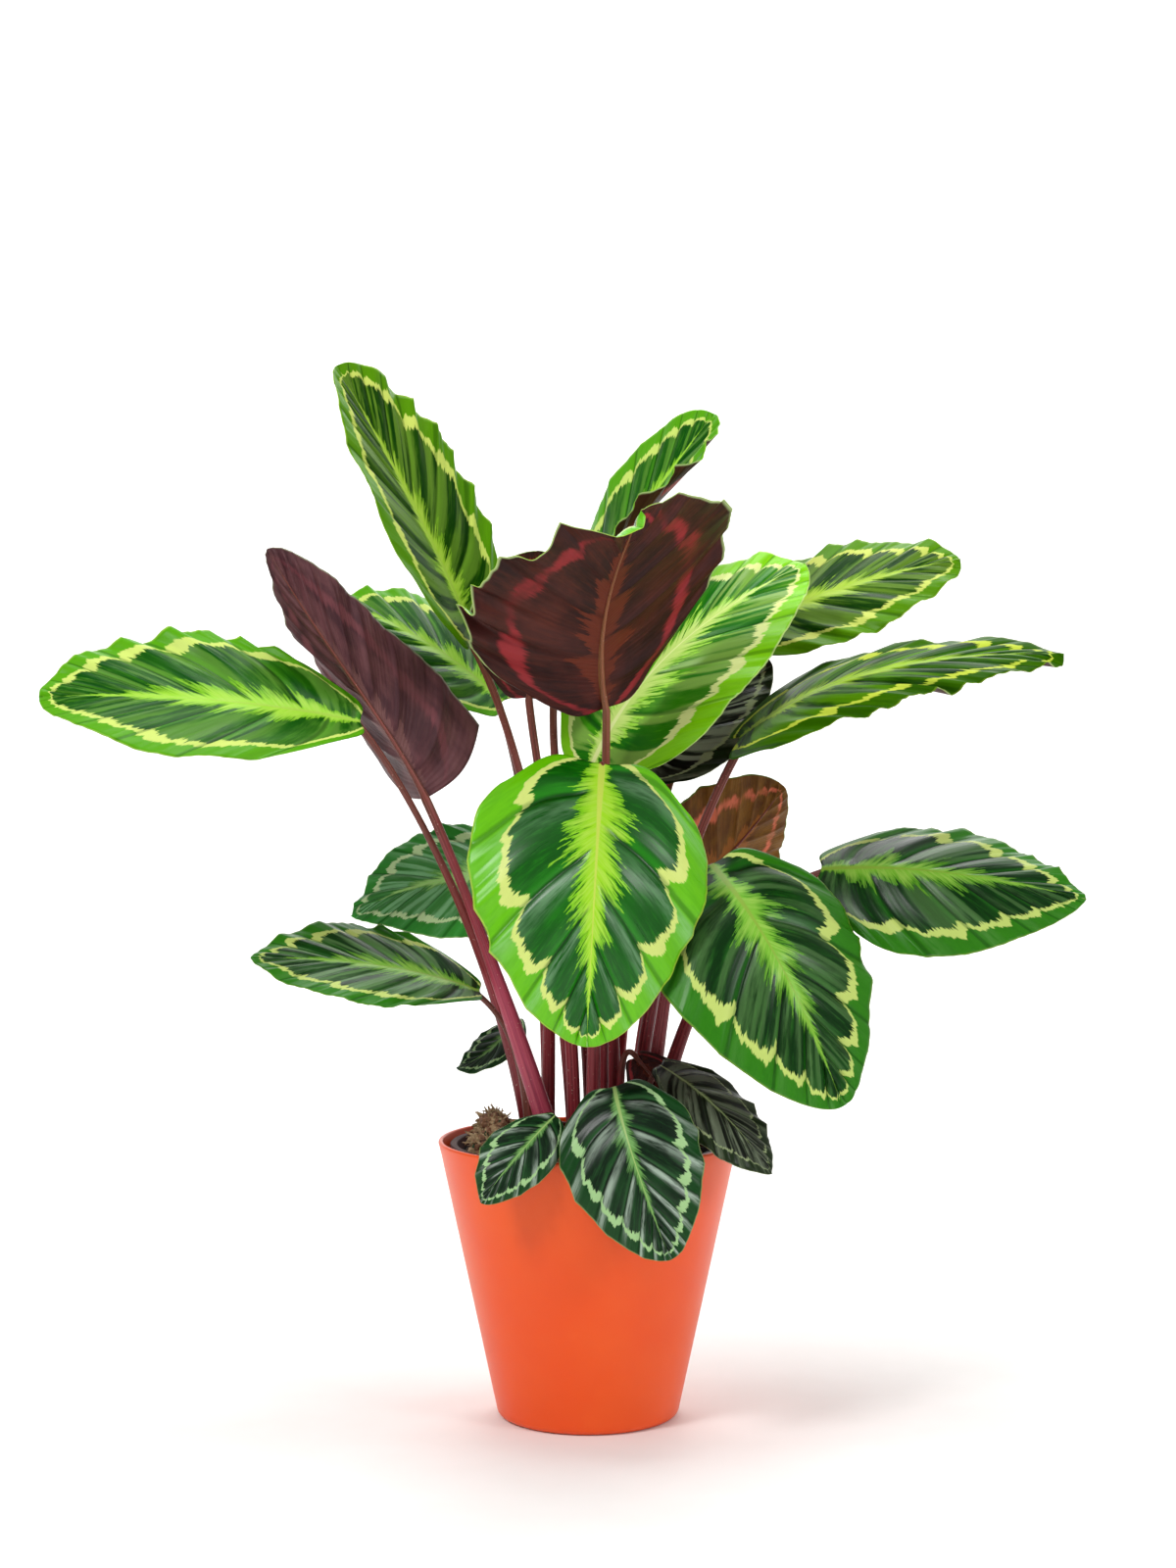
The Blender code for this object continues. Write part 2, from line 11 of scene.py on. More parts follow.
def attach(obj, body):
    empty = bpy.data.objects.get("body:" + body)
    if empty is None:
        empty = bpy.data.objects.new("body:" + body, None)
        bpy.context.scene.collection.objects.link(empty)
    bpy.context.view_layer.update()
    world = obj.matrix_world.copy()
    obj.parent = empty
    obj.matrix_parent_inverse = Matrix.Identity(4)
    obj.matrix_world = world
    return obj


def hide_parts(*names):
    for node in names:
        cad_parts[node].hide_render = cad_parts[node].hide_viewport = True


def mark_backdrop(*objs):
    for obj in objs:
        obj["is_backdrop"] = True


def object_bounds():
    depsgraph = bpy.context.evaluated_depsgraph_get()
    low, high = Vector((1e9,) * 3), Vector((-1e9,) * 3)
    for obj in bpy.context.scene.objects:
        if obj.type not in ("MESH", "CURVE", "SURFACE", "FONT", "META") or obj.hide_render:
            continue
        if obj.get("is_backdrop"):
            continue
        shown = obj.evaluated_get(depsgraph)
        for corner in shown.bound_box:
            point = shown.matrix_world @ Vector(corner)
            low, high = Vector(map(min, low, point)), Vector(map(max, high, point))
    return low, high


mm = 0.001
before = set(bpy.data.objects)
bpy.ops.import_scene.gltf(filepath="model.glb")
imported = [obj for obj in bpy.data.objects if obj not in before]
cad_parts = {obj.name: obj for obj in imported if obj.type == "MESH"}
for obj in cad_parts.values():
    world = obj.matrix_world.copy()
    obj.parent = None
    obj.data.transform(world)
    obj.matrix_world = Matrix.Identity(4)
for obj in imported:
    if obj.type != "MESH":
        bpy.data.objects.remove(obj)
cadLow, cadHigh = (np.array(corner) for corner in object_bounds())
scene = bpy.context.scene


# Small helpers
def unit(vector):
    return vector / np.linalg.norm(vector, axis=-1, keepdims=True)


def smooth(low, high, value):
    share = np.clip((value - low) / (high - low), 0.0, 1.0)
    return share * share * (3.0 - 2.0 * share)


def addPiece(name, data, materials, replaced=()):
    piece = bpy.data.objects.new(name, data)
    scene.collection.objects.link(piece)
    for material in materials:
        data.materials.append(material)
    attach(piece, "root")
    if replaced:
        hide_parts(*replaced)
    return piece


# Shader writing: a small wrapper that adds a node, sets its values and links its inputs
class Sheet:
    def __init__(self, tree):
        self.tree = tree

    def add(self, kind, **inputs):
        node = self.tree.nodes.new(kind)
        for key, value in inputs.items():
            if hasattr(node, key):
                setattr(node, key, value)
        return node

    def put(self, socket, value):
        if isinstance(value, bpy.types.NodeSocket):
            self.tree.links.new(value, socket)
        elif value is not None:
            socket.default_value = value

    def math(self, operation, a, b=None, c=None, clamp=False):
        node = self.tree.nodes.new("ShaderNodeMath")
        node.operation, node.use_clamp = operation, clamp
        for socket, value in zip(node.inputs, (a, b, c)):
            self.put(socket, value)
        return node.outputs[0]

    def mix(self, share, a, b, blend="MIX"):
        node = self.tree.nodes.new("ShaderNodeMix")
        node.data_type, node.blend_type = "RGBA", blend
        self.put(node.inputs["Factor"], share)
        self.put(node.inputs[6], a)
        self.put(node.inputs[7], b)
        return node.outputs[2]

    def ramp(self, value, stops, smoothly=False):
        node = self.tree.nodes.new("ShaderNodeValToRGB")
        ramp = node.color_ramp
        ramp.interpolation = "B_SPLINE" if smoothly else "LINEAR"
        while len(ramp.elements) > 1:
            ramp.elements.remove(ramp.elements[-1])
        ramp.elements[0].position = stops[0][0]
        ramp.elements[0].color = grey(stops[0][1])
        for place, colour in stops[1:]:
            ramp.elements.new(place).color = grey(colour)
        self.put(node.inputs[0], value)
        return node.outputs[0]

    def noise(self, vector, scale, detail=2.0, roughness=0.5, flat=False):
        node = self.tree.nodes.new("ShaderNodeTexNoise")
        node.noise_dimensions = "2D" if flat else "3D"
        self.put(node.inputs["Vector"], vector)
        self.put(node.inputs["Scale"], scale)
        self.put(node.inputs["Detail"], detail)
        self.put(node.inputs["Roughness"], roughness)
        return node.outputs[0]

    def join(self, x, y, z=0.0):
        node = self.tree.nodes.new("ShaderNodeCombineXYZ")
        for socket, value in zip(node.inputs, (x, y, z)):
            self.put(socket, value)
        return node.outputs[0]

    def step(self, value, low, high):
        node = self.tree.nodes.new("ShaderNodeMapRange")
        node.interpolation_type = "SMOOTHSTEP"
        for socket, given in zip(node.inputs, (value, low, high, 0.0, 1.0)):
            self.put(socket, given)
        return node.outputs[0]


def grey(colour):
    return (colour, colour, colour, 1.0) if isinstance(colour, (int, float)) else (*colour[:3], 1.0)


def paint(red, green, blue):
    # A colour from its usual 0 to 255 values
    return tuple(
        (c / 255 / 12.92 if c <= 10 else ((c / 255 + 0.055) / 1.055) ** 2.4) for c in (red, green, blue)
    ) + (1.0,)


def newGroup(name, inputs, outputs):
    group = bpy.data.node_groups.new(name, "ShaderNodeTree")
    for label, kind, value in inputs:
        socket = group.interface.new_socket(label, in_out="INPUT", socket_type="NodeSocket" + kind)
        if value is not None:
            socket.default_value = value
    for label, kind in outputs:
        group.interface.new_socket(label, in_out="OUTPUT", socket_type="NodeSocket" + kind)
    sheet = Sheet(group)
    source = group.nodes.new("NodeGroupInput")
    target = group.nodes.new("NodeGroupOutput")
    return group, sheet, source.outputs, target.inputs


def newMaterial(name, roughness=0.5, coat=0.0, coatRoughness=0.1, sheen=0.0, specular=0.5):
    material = bpy.data.materials.new(name)
    material.use_nodes = True
    shader = material.node_tree.nodes["Principled BSDF"]
    shader.inputs["Roughness"].default_value = roughness
    shader.inputs["Coat Weight"].default_value = coat
    shader.inputs["Coat Roughness"].default_value = coatRoughness
    shader.inputs["Sheen Weight"].default_value = sheen
    shader.inputs["Specular IOR Level"].default_value = specular
    return material, Sheet(material.node_tree), shader


def useGroup(sheet, group, **values):
    node = sheet.tree.nodes.new("ShaderNodeGroup")
    node.node_tree = group
    for label, value in values.items():
        sheet.put(node.inputs[label], value)
    return node


def bump(sheet, shader, height, distance, strength=1.0):
    node = sheet.tree.nodes.new("ShaderNodeBump")
    node.inputs["Strength"].default_value = strength
    node.inputs["Distance"].default_value = distance
    sheet.put(node.inputs["Height"], height)
    sheet.put(shader.inputs["Normal"], node.outputs["Normal"])


# Leaf markings
def bladeCoordinates(sheet):
    # "veins" holds (share along the rib that the vein leaves at, how far across),
    # "lobes" holds (count of pleats passed, side of the rib)
    both = []
    for name in ("veins", "lobes"):
        where = sheet.tree.nodes.new("ShaderNodeUVMap")
        where.uv_map = name
        split = sheet.tree.nodes.new("ShaderNodeSeparateXYZ")
        sheet.tree.links.new(where.outputs[0], split.inputs[0])
        both += [split.outputs[0], split.outputs[1]]
    return both


def markingMasks():
    # Masks that the upper and the lower side share: feathered middle, scalloped ring, rib,
    # margin and fine streaks along the side veins
    group, s, given, out = newGroup(
        "markings",
        [("Vein", "Float", 0.0), ("Across", "Float", 0.0), ("Pleat", "Float", 0.0),
         ("Seed", "Float", 0.0), ("Middle Width", "Float", 1.0), ("Ring Place", "Float", 0.80),
         ("Ring Width", "Float", 0.046), ("Jag", "Float", 1.0), ("Scallop", "Float", 0.5)],
        [("Middle", "Float"), ("Ring", "Float"), ("Margin", "Float"), ("Rib", "Float"),
         ("Streak", "Float"), ("Lobe", "Float"), ("Side", "Float"), ("Onward", "Float"),
         ("Hairs", "Float"), ("Outward", "Float"), ("Ring Depth", "Float")],
    )
    vein, across, pleat, seed = given["Vein"], given["Across"], given["Pleat"], given["Seed"]
    side = s.math("ABSOLUTE", across)
    sign = s.math("SIGN", across)
    wander = s.math("MULTIPLY_ADD", sign, 7.3, seed)
    # fine teeth: quick across the veins, slow along them
    teeth = s.noise(s.join(s.math("MULTIPLY", vein, 62.0), s.math("MULTIPLY", side, 3.2), wander), 1.0, 3.0, 0.65)
    broad = s.noise(s.join(s.math("MULTIPLY", vein, 15.0), s.math("MULTIPLY", side, 1.6), wander), 1.0, 1.0)
    hairs = s.noise(s.join(s.math("MULTIPLY", vein, 190.0), s.math("MULTIPLY", side, 5.0), wander), 1.0, 2.0, 0.6)
    hairs = s.math("SUBTRACT", hairs, 0.5)
    teeth = s.math("MULTIPLY_ADD", hairs, 0.35, s.math("SUBTRACT", teeth, 0.5))
    broad = s.math("SUBTRACT", broad, 0.5)
    wave = s.math("COSINE", s.math("MULTIPLY", pleat, 2 * math.pi))
    lobe = s.math("MULTIPLY_ADD", wave, -0.5, 0.5)  # 0 in a pleat, 1 on the lobe between two
    onward = s.math("FRACT", s.math("MULTIPLY_ADD", broad, 0.10, pleat))  # 0 after a pleat, 1 before the next
    # feathered middle
    width = s.ramp(vein, [(0.0, 0.06), (0.06, 0.10), (0.18, 0.21), (0.42, 0.23), (0.6, 0.19),
                          (0.78, 0.13), (0.9, 0.06), (0.97, 0.0)])
    width = s.math("MULTIPLY", width, given["Middle Width"])
    longer = s.math("MULTIPLY", s.step(onward, 0.0, 0.75), s.step(onward, 1.0, 0.93))
    width = s.math("MULTIPLY", width, s.math("MULTIPLY_ADD", longer, 0.60, 0.62))
    tooth = s.math("MULTIPLY", s.math("MULTIPLY_ADD", teeth, 1.0, s.math("MULTIPLY", broad, 0.25)), given["Jag"])
    reach = s.math("MULTIPLY_ADD", s.math("MULTIPLY", tooth, width), 2.8, width)
    middle = s.step(s.math("SUBTRACT", reach, side), -0.006, 0.010)
    # scalloped ring
    place = s.ramp(vein, [(0.0, 0.28), (0.03, 0.50), (0.09, 0.86), (0.3, 1.0), (0.8, 0.98), (0.9, 0.86), (0.975, 0.0)])
    place = s.math("MULTIPLY", place, given["Ring Place"])
    closing = s.math("ADD", s.math("MULTIPLY", s.step(onward, 0.70, 1.0), 0.17),
                     s.math("MULTIPLY", s.step(onward, 0.22, 0.0), 0.11))
    closing = s.math("MULTIPLY", closing, given["Scallop"])
    inward = s.math("MULTIPLY", closing, s.ramp(vein, [(0.0, 0.0), (0.1, 0.8), (0.8, 1.0), (0.95, 0.2)]))
    place = s.math("SUBTRACT", place, inward)
    place = s.math("MULTIPLY_ADD", broad, 0.06, place)
    offset = s.math("SUBTRACT", side, place)
    swelling = s.math("MULTIPLY_ADD", s.step(onward, 0.35, 0.85), 0.55, 0.62)
    swelling = s.math("MULTIPLY", swelling, s.step(onward, 1.06, 0.92))
    thin = s.math("MULTIPLY", given["Ring Width"], swelling)
    ragged = s.math("MULTIPLY", teeth, s.math("MULTIPLY", given["Jag"], 0.15))
    thin = s.math("MULTIPLY_ADD", hairs, 0.07, thin)
    within = s.math("SUBTRACT", thin, s.math("ABSOLUTE", s.math("ADD", offset, ragged)))
    ring = s.step(within, -0.008, 0.010)
    margin = s.step(s.math("ADD", offset, ragged), 0.0, 0.012)
    s.put(out["Middle"], middle)
    s.put(out["Ring"], ring)
    s.put(out["Margin"], margin)
    ribHalf = s.ramp(vein, [(0.0, 0.030), (0.3, 0.014), (0.9, 0.009)])
    s.put(out["Rib"], s.step(s.math("SUBTRACT", side, ribHalf), 0.006, -0.006))
    s.put(out["Streak"], s.math("ADD", teeth, 0.5))
    s.put(out["Lobe"], lobe)
    s.put(out["Side"], side)
    s.put(out["Onward"], onward)
    s.put(out["Hairs"], s.math("ADD", hairs, 0.5))
    s.put(out["Ring Depth"], within)
    s.put(out["Outward"], s.math("DIVIDE", side, s.math("MAXIMUM", reach, 0.02)))  # 0 at the rib, 1 at the tips
    return group


def upperSide(masks):
    group, s, given, out = newGroup(
        "leafUpper",
        [("Vein", "Float", 0.0), ("Across", "Float", 0.0), ("Pleat", "Float", 0.0), ("Seed", "Float", 0.0),
         ("Middle Width", "Float", 1.0), ("Ring Place", "Float", 0.80), ("Ring Width", "Float", 0.05),
         ("Scallop", "Float", 0.5), ("Dark", "Color", None), ("Light Streak", "Color", None), ("Middle", "Color", None),
         ("Ring", "Color", None), ("Margin", "Color", None), ("Rib", "Color", None),
         ("Silver", "Color", paint(150, 176, 158)), ("Painted Sheen", "Float", 0.12), ("Painted Light", "Float", 0.0),
         ("Stripes", "Float", 0.0)],
        [("Color", "Color"), ("Roughness", "Float"), ("Height", "Float")],
    )
    share = {key: given[key] for key in
             ("Vein", "Across", "Pleat", "Seed", "Middle Width", "Ring Place", "Ring Width", "Scallop")}
    mask = useGroup(s, masks, **share).outputs
    streak, lobe, side = mask["Streak"], mask["Lobe"], mask["Side"]
    blur = s.noise(s.join(s.math("MULTIPLY", given["Vein"], 7.0), side, given["Seed"]), 1.0, 2.0)
    dark = s.mix(s.math("MULTIPLY", s.step(streak, 0.45, 0.8), 0.55), given["Dark"], given["Light Streak"])
    dark = s.mix(s.math("MULTIPLY", s.step(blur, 0.5, 0.75), 0.35), dark, given["Light Streak"])
    before = s.math("MULTIPLY", s.step(mask["Onward"], 0.80, 0.93), s.step(mask["Onward"], 1.0, 0.95))
    dark = s.mix(s.math("MULTIPLY", before, 0.7), dark, given["Light Streak"])
    fine = s.step(mask["Hairs"], 0.55, 0.8)
    dark = s.mix(s.math("MULTIPLY", fine, 0.35), dark, given["Light Streak"])
    # painted light: lightens the whole dark field towards the middle colour, for a leaf that lies in shade
    dark = s.mix(given["Painted Light"], dark, given["Middle"])
    # broad pale stripes from the rib outwards, one or two to a lobe
    banded = s.noise(s.join(s.math("MULTIPLY", given["Vein"], 27.0), s.math("MULTIPLY", side, 0.5), given["Seed"]), 1.0, 1.0)
    banded = s.step(s.math("MULTIPLY_ADD", s.math("SUBTRACT", streak, 0.5), 0.18, banded), 0.46, 0.60)
    dark = s.mix(s.math("MULTIPLY", banded, given["Stripes"]), dark, given["Silver"])
    middle = s.mix(s.math("MULTIPLY", s.step(streak, 0.3, 0.75), 0.35), given["Middle"], given["Ring"])
    middle = s.mix(s.math("MULTIPLY", s.step(mask["Outward"], 0.25, 1.0), 0.75), middle, given["Margin"])
    between = s.math("MULTIPLY", s.step(mask["Hairs"], 0.52, 0.36), s.step(mask["Outward"], 0.35, 0.95))
    middle = s.mix(s.math("MULTIPLY", between, 0.75), middle, given["Dark"])
    margin = s.mix(s.math("MULTIPLY", s.step(streak, 0.62, 0.3), 0.22), given["Margin"], given["Light Streak"])
    colour = s.mix(mask["Margin"], dark, margin)
    # painted sheen: a pale highlight painted in the Silver colour on the flank just past each pleat, in place of the
    # gloss there
    paintedSheenMask = s.math("MULTIPLY", s.step(mask["Onward"], 0.02, 0.14), s.step(mask["Onward"], 0.46, 0.16))
    paintedSheenMask = s.math("MULTIPLY", paintedSheenMask, s.math("MULTIPLY", s.step(streak, 0.25, 0.6), s.step(side, 0.04, 0.22)))
    paintedSheenMask = s.math("MULTIPLY", paintedSheenMask, s.step(blur, 0.30, 0.62))
    colour = s.mix(s.math("MULTIPLY", paintedSheenMask, given["Painted Sheen"]), colour, given["Silver"])
    colour = s.mix(mask["Middle"], colour, middle)
    colour = s.mix(mask["Ring"], colour, given["Ring"])
    # painted shade: the colour is darkened in each pleat valley
    fold = s.math("MULTIPLY", s.step(lobe, 0.035, 0.0), s.step(side, 0.03, 0.12))
    shaded = s.mix(1.0, colour, (0.42, 0.5, 0.42, 1.0), "MULTIPLY")
    colour = s.mix(s.math("MULTIPLY", fold, 0.8), colour, shaded)
    colour = s.mix(mask["Rib"], colour, given["Rib"])
    edge = s.step(side, 0.982, 0.994)
    colour = s.mix(s.math("MULTIPLY", edge, 0.6), colour, given["Rib"])
    s.put(out["Color"], colour)
    rough = s.math("MULTIPLY_ADD", streak, 0.12, 0.24)
    rough = s.math("MULTIPLY_ADD", mask["Ring"], 0.10, rough)
    s.put(out["Roughness"], rough)
    lines = s.math("SINE", s.math("MULTIPLY", given["Vein"], 420.0))
    height = s.math("MULTIPLY_ADD", lines, 0.25, s.math("MULTIPLY", streak, 0.7))
    height = s.math("MULTIPLY_ADD", mask["Rib"], -0.6, height)
    s.put(out["Height"], height)
    return group


def lowerSide(masks):
    group, s, given, out = newGroup(
        "leafUnder",
        [("Vein", "Float", 0.0), ("Across", "Float", 0.0), ("Pleat", "Float", 0.0), ("Seed", "Float", 0.0),
         ("Ring Place", "Float", 0.70), ("Base", "Color", None), ("Deep", "Color", None),
         ("Ring", "Color", None), ("Feather", "Color", None), ("Rib", "Color", None), ("Edge", "Color", None)],
        [("Color", "Color"), ("Roughness", "Float"), ("Height", "Float")],
    )
    share = {key: given[key] for key in ("Vein", "Across", "Pleat", "Seed", "Ring Place")}
    masked = useGroup(s, masks, **share)
    masked.inputs["Ring Width"].default_value = 0.070
    masked.inputs["Middle Width"].default_value = 0.75
    masked.inputs["Scallop"].default_value = 0.4
    mask = masked.outputs
    streak, lobe, side = mask["Streak"], mask["Lobe"], mask["Side"]
    cloud = s.noise(s.join(s.math("MULTIPLY", given["Vein"], 5.0), s.math("MULTIPLY", side, 2.0), given["Seed"]),
                    1.0, 4.0, 0.6)
    colour = s.mix(s.step(cloud, 0.35, 0.65), given["Base"], given["Deep"])
    colour = s.mix(s.math("MULTIPLY", s.step(streak, 0.4, 0.8), 0.3), colour, given["Feather"])
    colour = s.mix(s.math("MULTIPLY", mask["Middle"], 0.75), colour, given["Feather"])
    # the ring shows through unevenly, softer than above
    patch = s.step(cloud, 0.36, 0.60)
    soft = s.step(s.math("MULTIPLY_ADD", s.math("SUBTRACT", cloud, 0.5), 0.16, mask["Ring Depth"]), -0.03, 0.035)
    colour = s.mix(s.math("MULTIPLY", soft, s.math("MULTIPLY_ADD", patch, 0.75, 0.2)), colour, given["Ring"])
    # painted shade: the colour turns deeper in each pleat valley
    colour = s.mix(s.math("MULTIPLY", s.step(lobe, 0.08, 0.0), 0.35), colour, given["Deep"])
    colour = s.mix(mask["Rib"], colour, given["Rib"])
    brink = s.step(s.math("MULTIPLY_ADD", s.math("SUBTRACT", cloud, 0.5), 0.04, side), 0.972, 0.996)
    colour = s.mix(brink, colour, given["Edge"])
    s.put(out["Color"], colour)
    s.put(out["Roughness"], s.math("MULTIPLY_ADD", cloud, 0.2, 0.42))
    lines = s.math("SINE", s.math("MULTIPLY", given["Vein"], 420.0))
    s.put(out["Height"], s.math("MULTIPLY_ADD", lines, 0.4, s.math("MULTIPLY", streak, 0.6)))
    return group


masks = markingMasks()
upperGroup, lowerGroup = upperSide(masks), lowerSide(masks)

# The colours that the leaves come in; silver colours both the pale stripes and the painted sheen
upperLooks = {
    "bright": dict(dark=paint(0, 82, 0), streak=paint(32, 140, 6), middle=paint(156, 218, 22),
                   ring=paint(212, 228, 124), margin=paint(104, 192, 0), rib=paint(196, 218, 84),
                   silver=paint(172, 206, 176), gloss=0.34),
    "leafy": dict(dark=paint(4, 72, 2), streak=paint(66, 138, 22), middle=paint(146, 206, 46),
                  ring=paint(196, 216, 108), margin=paint(84, 158, 12), rib=paint(160, 200, 72),
                  silver=paint(108, 160, 60), gloss=0.08),
    "pale": dict(dark=paint(20, 108, 40), streak=paint(70, 160, 84), middle=paint(172, 236, 126),
                 ring=paint(208, 238, 176), margin=paint(56, 146, 52), rib=paint(190, 232, 146),
                 silver=paint(148, 212, 152), gloss=0.1),
    "olive": dict(dark=paint(8, 54, 0), streak=paint(70, 116, 10), middle=paint(156, 194, 56),
                  ring=paint(196, 210, 100), margin=paint(82, 138, 4), rib=paint(160, 190, 72),
                  silver=paint(116, 156, 50), gloss=0.06),
    "shady": dict(dark=paint(6, 48, 0), streak=paint(56, 112, 0), middle=paint(140, 186, 24),
                  ring=paint(184, 202, 66), margin=paint(42, 86, 0), rib=paint(130, 160, 48),
                  silver=paint(92, 150, 8), gloss=0.02),
    "deep": dict(dark=paint(0, 44, 2), streak=paint(28, 98, 18), middle=paint(110, 176, 44),
                 ring=paint(192, 212, 112), margin=paint(46, 122, 14), rib=paint(134, 170, 60),
                 silver=paint(104, 150, 86), gloss=0.18),
    "fresh": dict(dark=paint(14, 104, 0), streak=paint(72, 156, 8), middle=paint(190, 220, 114),
                  ring=paint(218, 232, 146), margin=paint(130, 208, 8), rib=paint(220, 232, 156),
                  silver=paint(150, 190, 86), gloss=0.2),
    "dusky": dict(dark=paint(4, 10, 2), streak=paint(34, 48, 28), middle=paint(112, 132, 82),
                  ring=paint(150, 166, 120), margin=paint(30, 46, 20), rib=paint(146, 160, 112),
                  silver=paint(140, 154, 126), gloss=0.18),
    "night": dict(dark=paint(0, 26, 6), streak=paint(36, 88, 40), middle=paint(92, 148, 66),
                  ring=paint(160, 200, 138), margin=paint(8, 60, 16), rib=paint(156, 186, 108),
                  silver=paint(190, 210, 192), gloss=0.24),
}
underLooks = {
    "purple": dict(base=paint(76, 32, 28), deep=paint(46, 20, 20), ring=paint(160, 48, 54),
                   feather=paint(118, 50, 32), rib=paint(160, 116, 72), edge=paint(176, 196, 130)),
    "amber": dict(base=paint(120, 80, 8), deep=paint(86, 50, 4), ring=paint(222, 116, 84),
                  feather=paint(148, 88, 26), rib=paint(140, 100, 52), edge=paint(120, 150, 70)),
    "plum": dict(base=paint(104, 62, 66), deep=paint(66, 34, 40), ring=paint(112, 60, 66),
                 feather=paint(118, 78, 76), rib=paint(126, 84, 62), edge=paint(140, 140, 116)),
}


def leafMaterials(name, seed, upper, under, markings):
    look = upperLooks[upper]
    top, s, shader = newMaterial(name + "Upper", specular=look["gloss"])
    vein, across, pleat, _ = bladeCoordinates(s)
    leaf = useGroup(s, upperGroup, Vein=vein, Across=across, Pleat=pleat)
    values = {"Seed": seed * 3.7, "Dark": look["dark"], "Light Streak": look["streak"], "Middle": look["middle"],
              "Ring": look["ring"], "Margin": look["margin"], "Rib": look["rib"],
              "Silver": look["silver"], **markings}
    for label, value in values.items():
        leaf.inputs[label].default_value = value
    s.put(shader.inputs["Base Color"], leaf.outputs["Color"])
    s.put(shader.inputs["Roughness"], leaf.outputs["Roughness"])
    bump(s, shader, leaf.outputs["Height"], 0.00004)
    look = underLooks[under]
    below, s, shader = newMaterial(name + "Under", specular=0.22)
    vein, across, pleat, _ = bladeCoordinates(s)
    leaf = useGroup(s, lowerGroup, Vein=vein, Across=across, Pleat=pleat)
    values = {"Seed": seed * 3.7, "Base": look["base"], "Deep": look["deep"], "Ring": look["ring"],
              "Feather": look["feather"], "Rib": look["rib"], "Edge": look["edge"]}
    for label, value in values.items():
        leaf.inputs[label].default_value = value
    s.put(shader.inputs["Base Color"], leaf.outputs["Color"])
    s.put(shader.inputs["Roughness"], leaf.outputs["Roughness"])
    bump(s, shader, leaf.outputs["Height"], 0.00012)
    return top, below


# Leaf shape
bladeShape = {
    "firstVein": 0.10, "veinSweep": 2.6, "baseLobe": 0.09, "rowCrowding": 0.8, "lastRow": 0.995,
    "thickness": 0.6, "rows": 120, "columns": 52,
    "pleatDepth": 3.2, "frill": 0.6,
}


def outline(leaf, station, across):
    left, right = leaf.get("shapeLeft", leaf["shape"]), leaf["shape"]
    widest = np.where(across < 0, left[0], right[0])
    narrowing = np.where(across < 0, left[1], right[1])
    return np.sin(np.pi * np.clip(station, 0.0, 1.0) ** widest) ** narrowing


def veinEnd(vein):
    first = bladeShape["firstVein"]
    return first + (1.0 - first) * (1.0 - (1.0 - vein) ** bladeShape["veinSweep"])


def flatBlade(leaf, vein, across):
    side = np.abs(across)
    bend = (1.0 - vein) ** 6
    forward = (1.0 - bend) * side + bend * side**2
    station = vein + (veinEnd(vein) - vein) * forward
    lobe = leaf.get("lobe", bladeShape["baseLobe"] * (1.3 - leaf["shape"][0]))
    station = station - lobe * (1.0 - vein) ** 4 * np.sin(np.pi * side) ** 2
    return station, outline(leaf, veinEnd(vein), across) * side


def cubic(points, share):
    share = np.asarray(share, float)[..., None]
    rest = 1.0 - share
    a, b, c, d = points
    place = rest**3 * a + 3 * rest**2 * share * b + 3 * rest * share**2 * c + share**3 * d
    slope = 3 * rest**2 * (b - a) + 6 * rest * share * (c - b) + 3 * share**2 * (d - c)
    return place, slope


def ribPoints(leaf):
    base, tip = np.array(leaf["base"], float), np.array(leaf["tip"], float)
    along = tip - base
    heading = unit(along)
    up = np.array(leaf["face"], float)
    up = unit(up - heading * (up @ heading))
    right = np.cross(heading, up)
    bow = leaf.get("bow", (0, 0))
    return [
        base,
        base + along / 3 + up * leaf["arch"][0] + right * bow[0],
        base + along * 2 / 3 + up * leaf["arch"][1] + right * bow[1],
        tip,
    ]


def ribFrames(leaf, station):
    points = ribPoints(leaf)
    shares = np.linspace(0, 1, 129)
    place, slope = cubic(points, shares)
    steps = np.linalg.norm(np.diff(place, axis=0), axis=1)
    reached = np.concatenate([[0], np.cumsum(steps)])
    length = reached[-1]
    share = np.interp(np.clip(station, 0, 1) * length, reached, shares)
    place, slope = cubic(points, share)
    heading = unit(slope)
    place = place + heading * (np.minimum(station, 0) * length)[..., None]
    face = unit(np.array(leaf["face"], float))
    up = unit(face - heading * (heading @ face)[..., None])
    right = np.cross(heading, up)
    turn = np.radians(leaf.get("twist", 0.0)) * np.clip(station, 0, 1)[..., None]
    return place, heading, up * np.cos(turn) + right * np.sin(turn), (
        right * np.cos(turn) - up * np.sin(turn)
    )


def pleatCount(leaf, vein, left):
    # Pleats passed on the way to this vein, with the two sides out of step
    offset = np.where(left, leaf["pleats"][0], leaf["pleats"][1])
    return (vein + 0.25 * vein**2 - offset) / leaf["pleatEvery"]


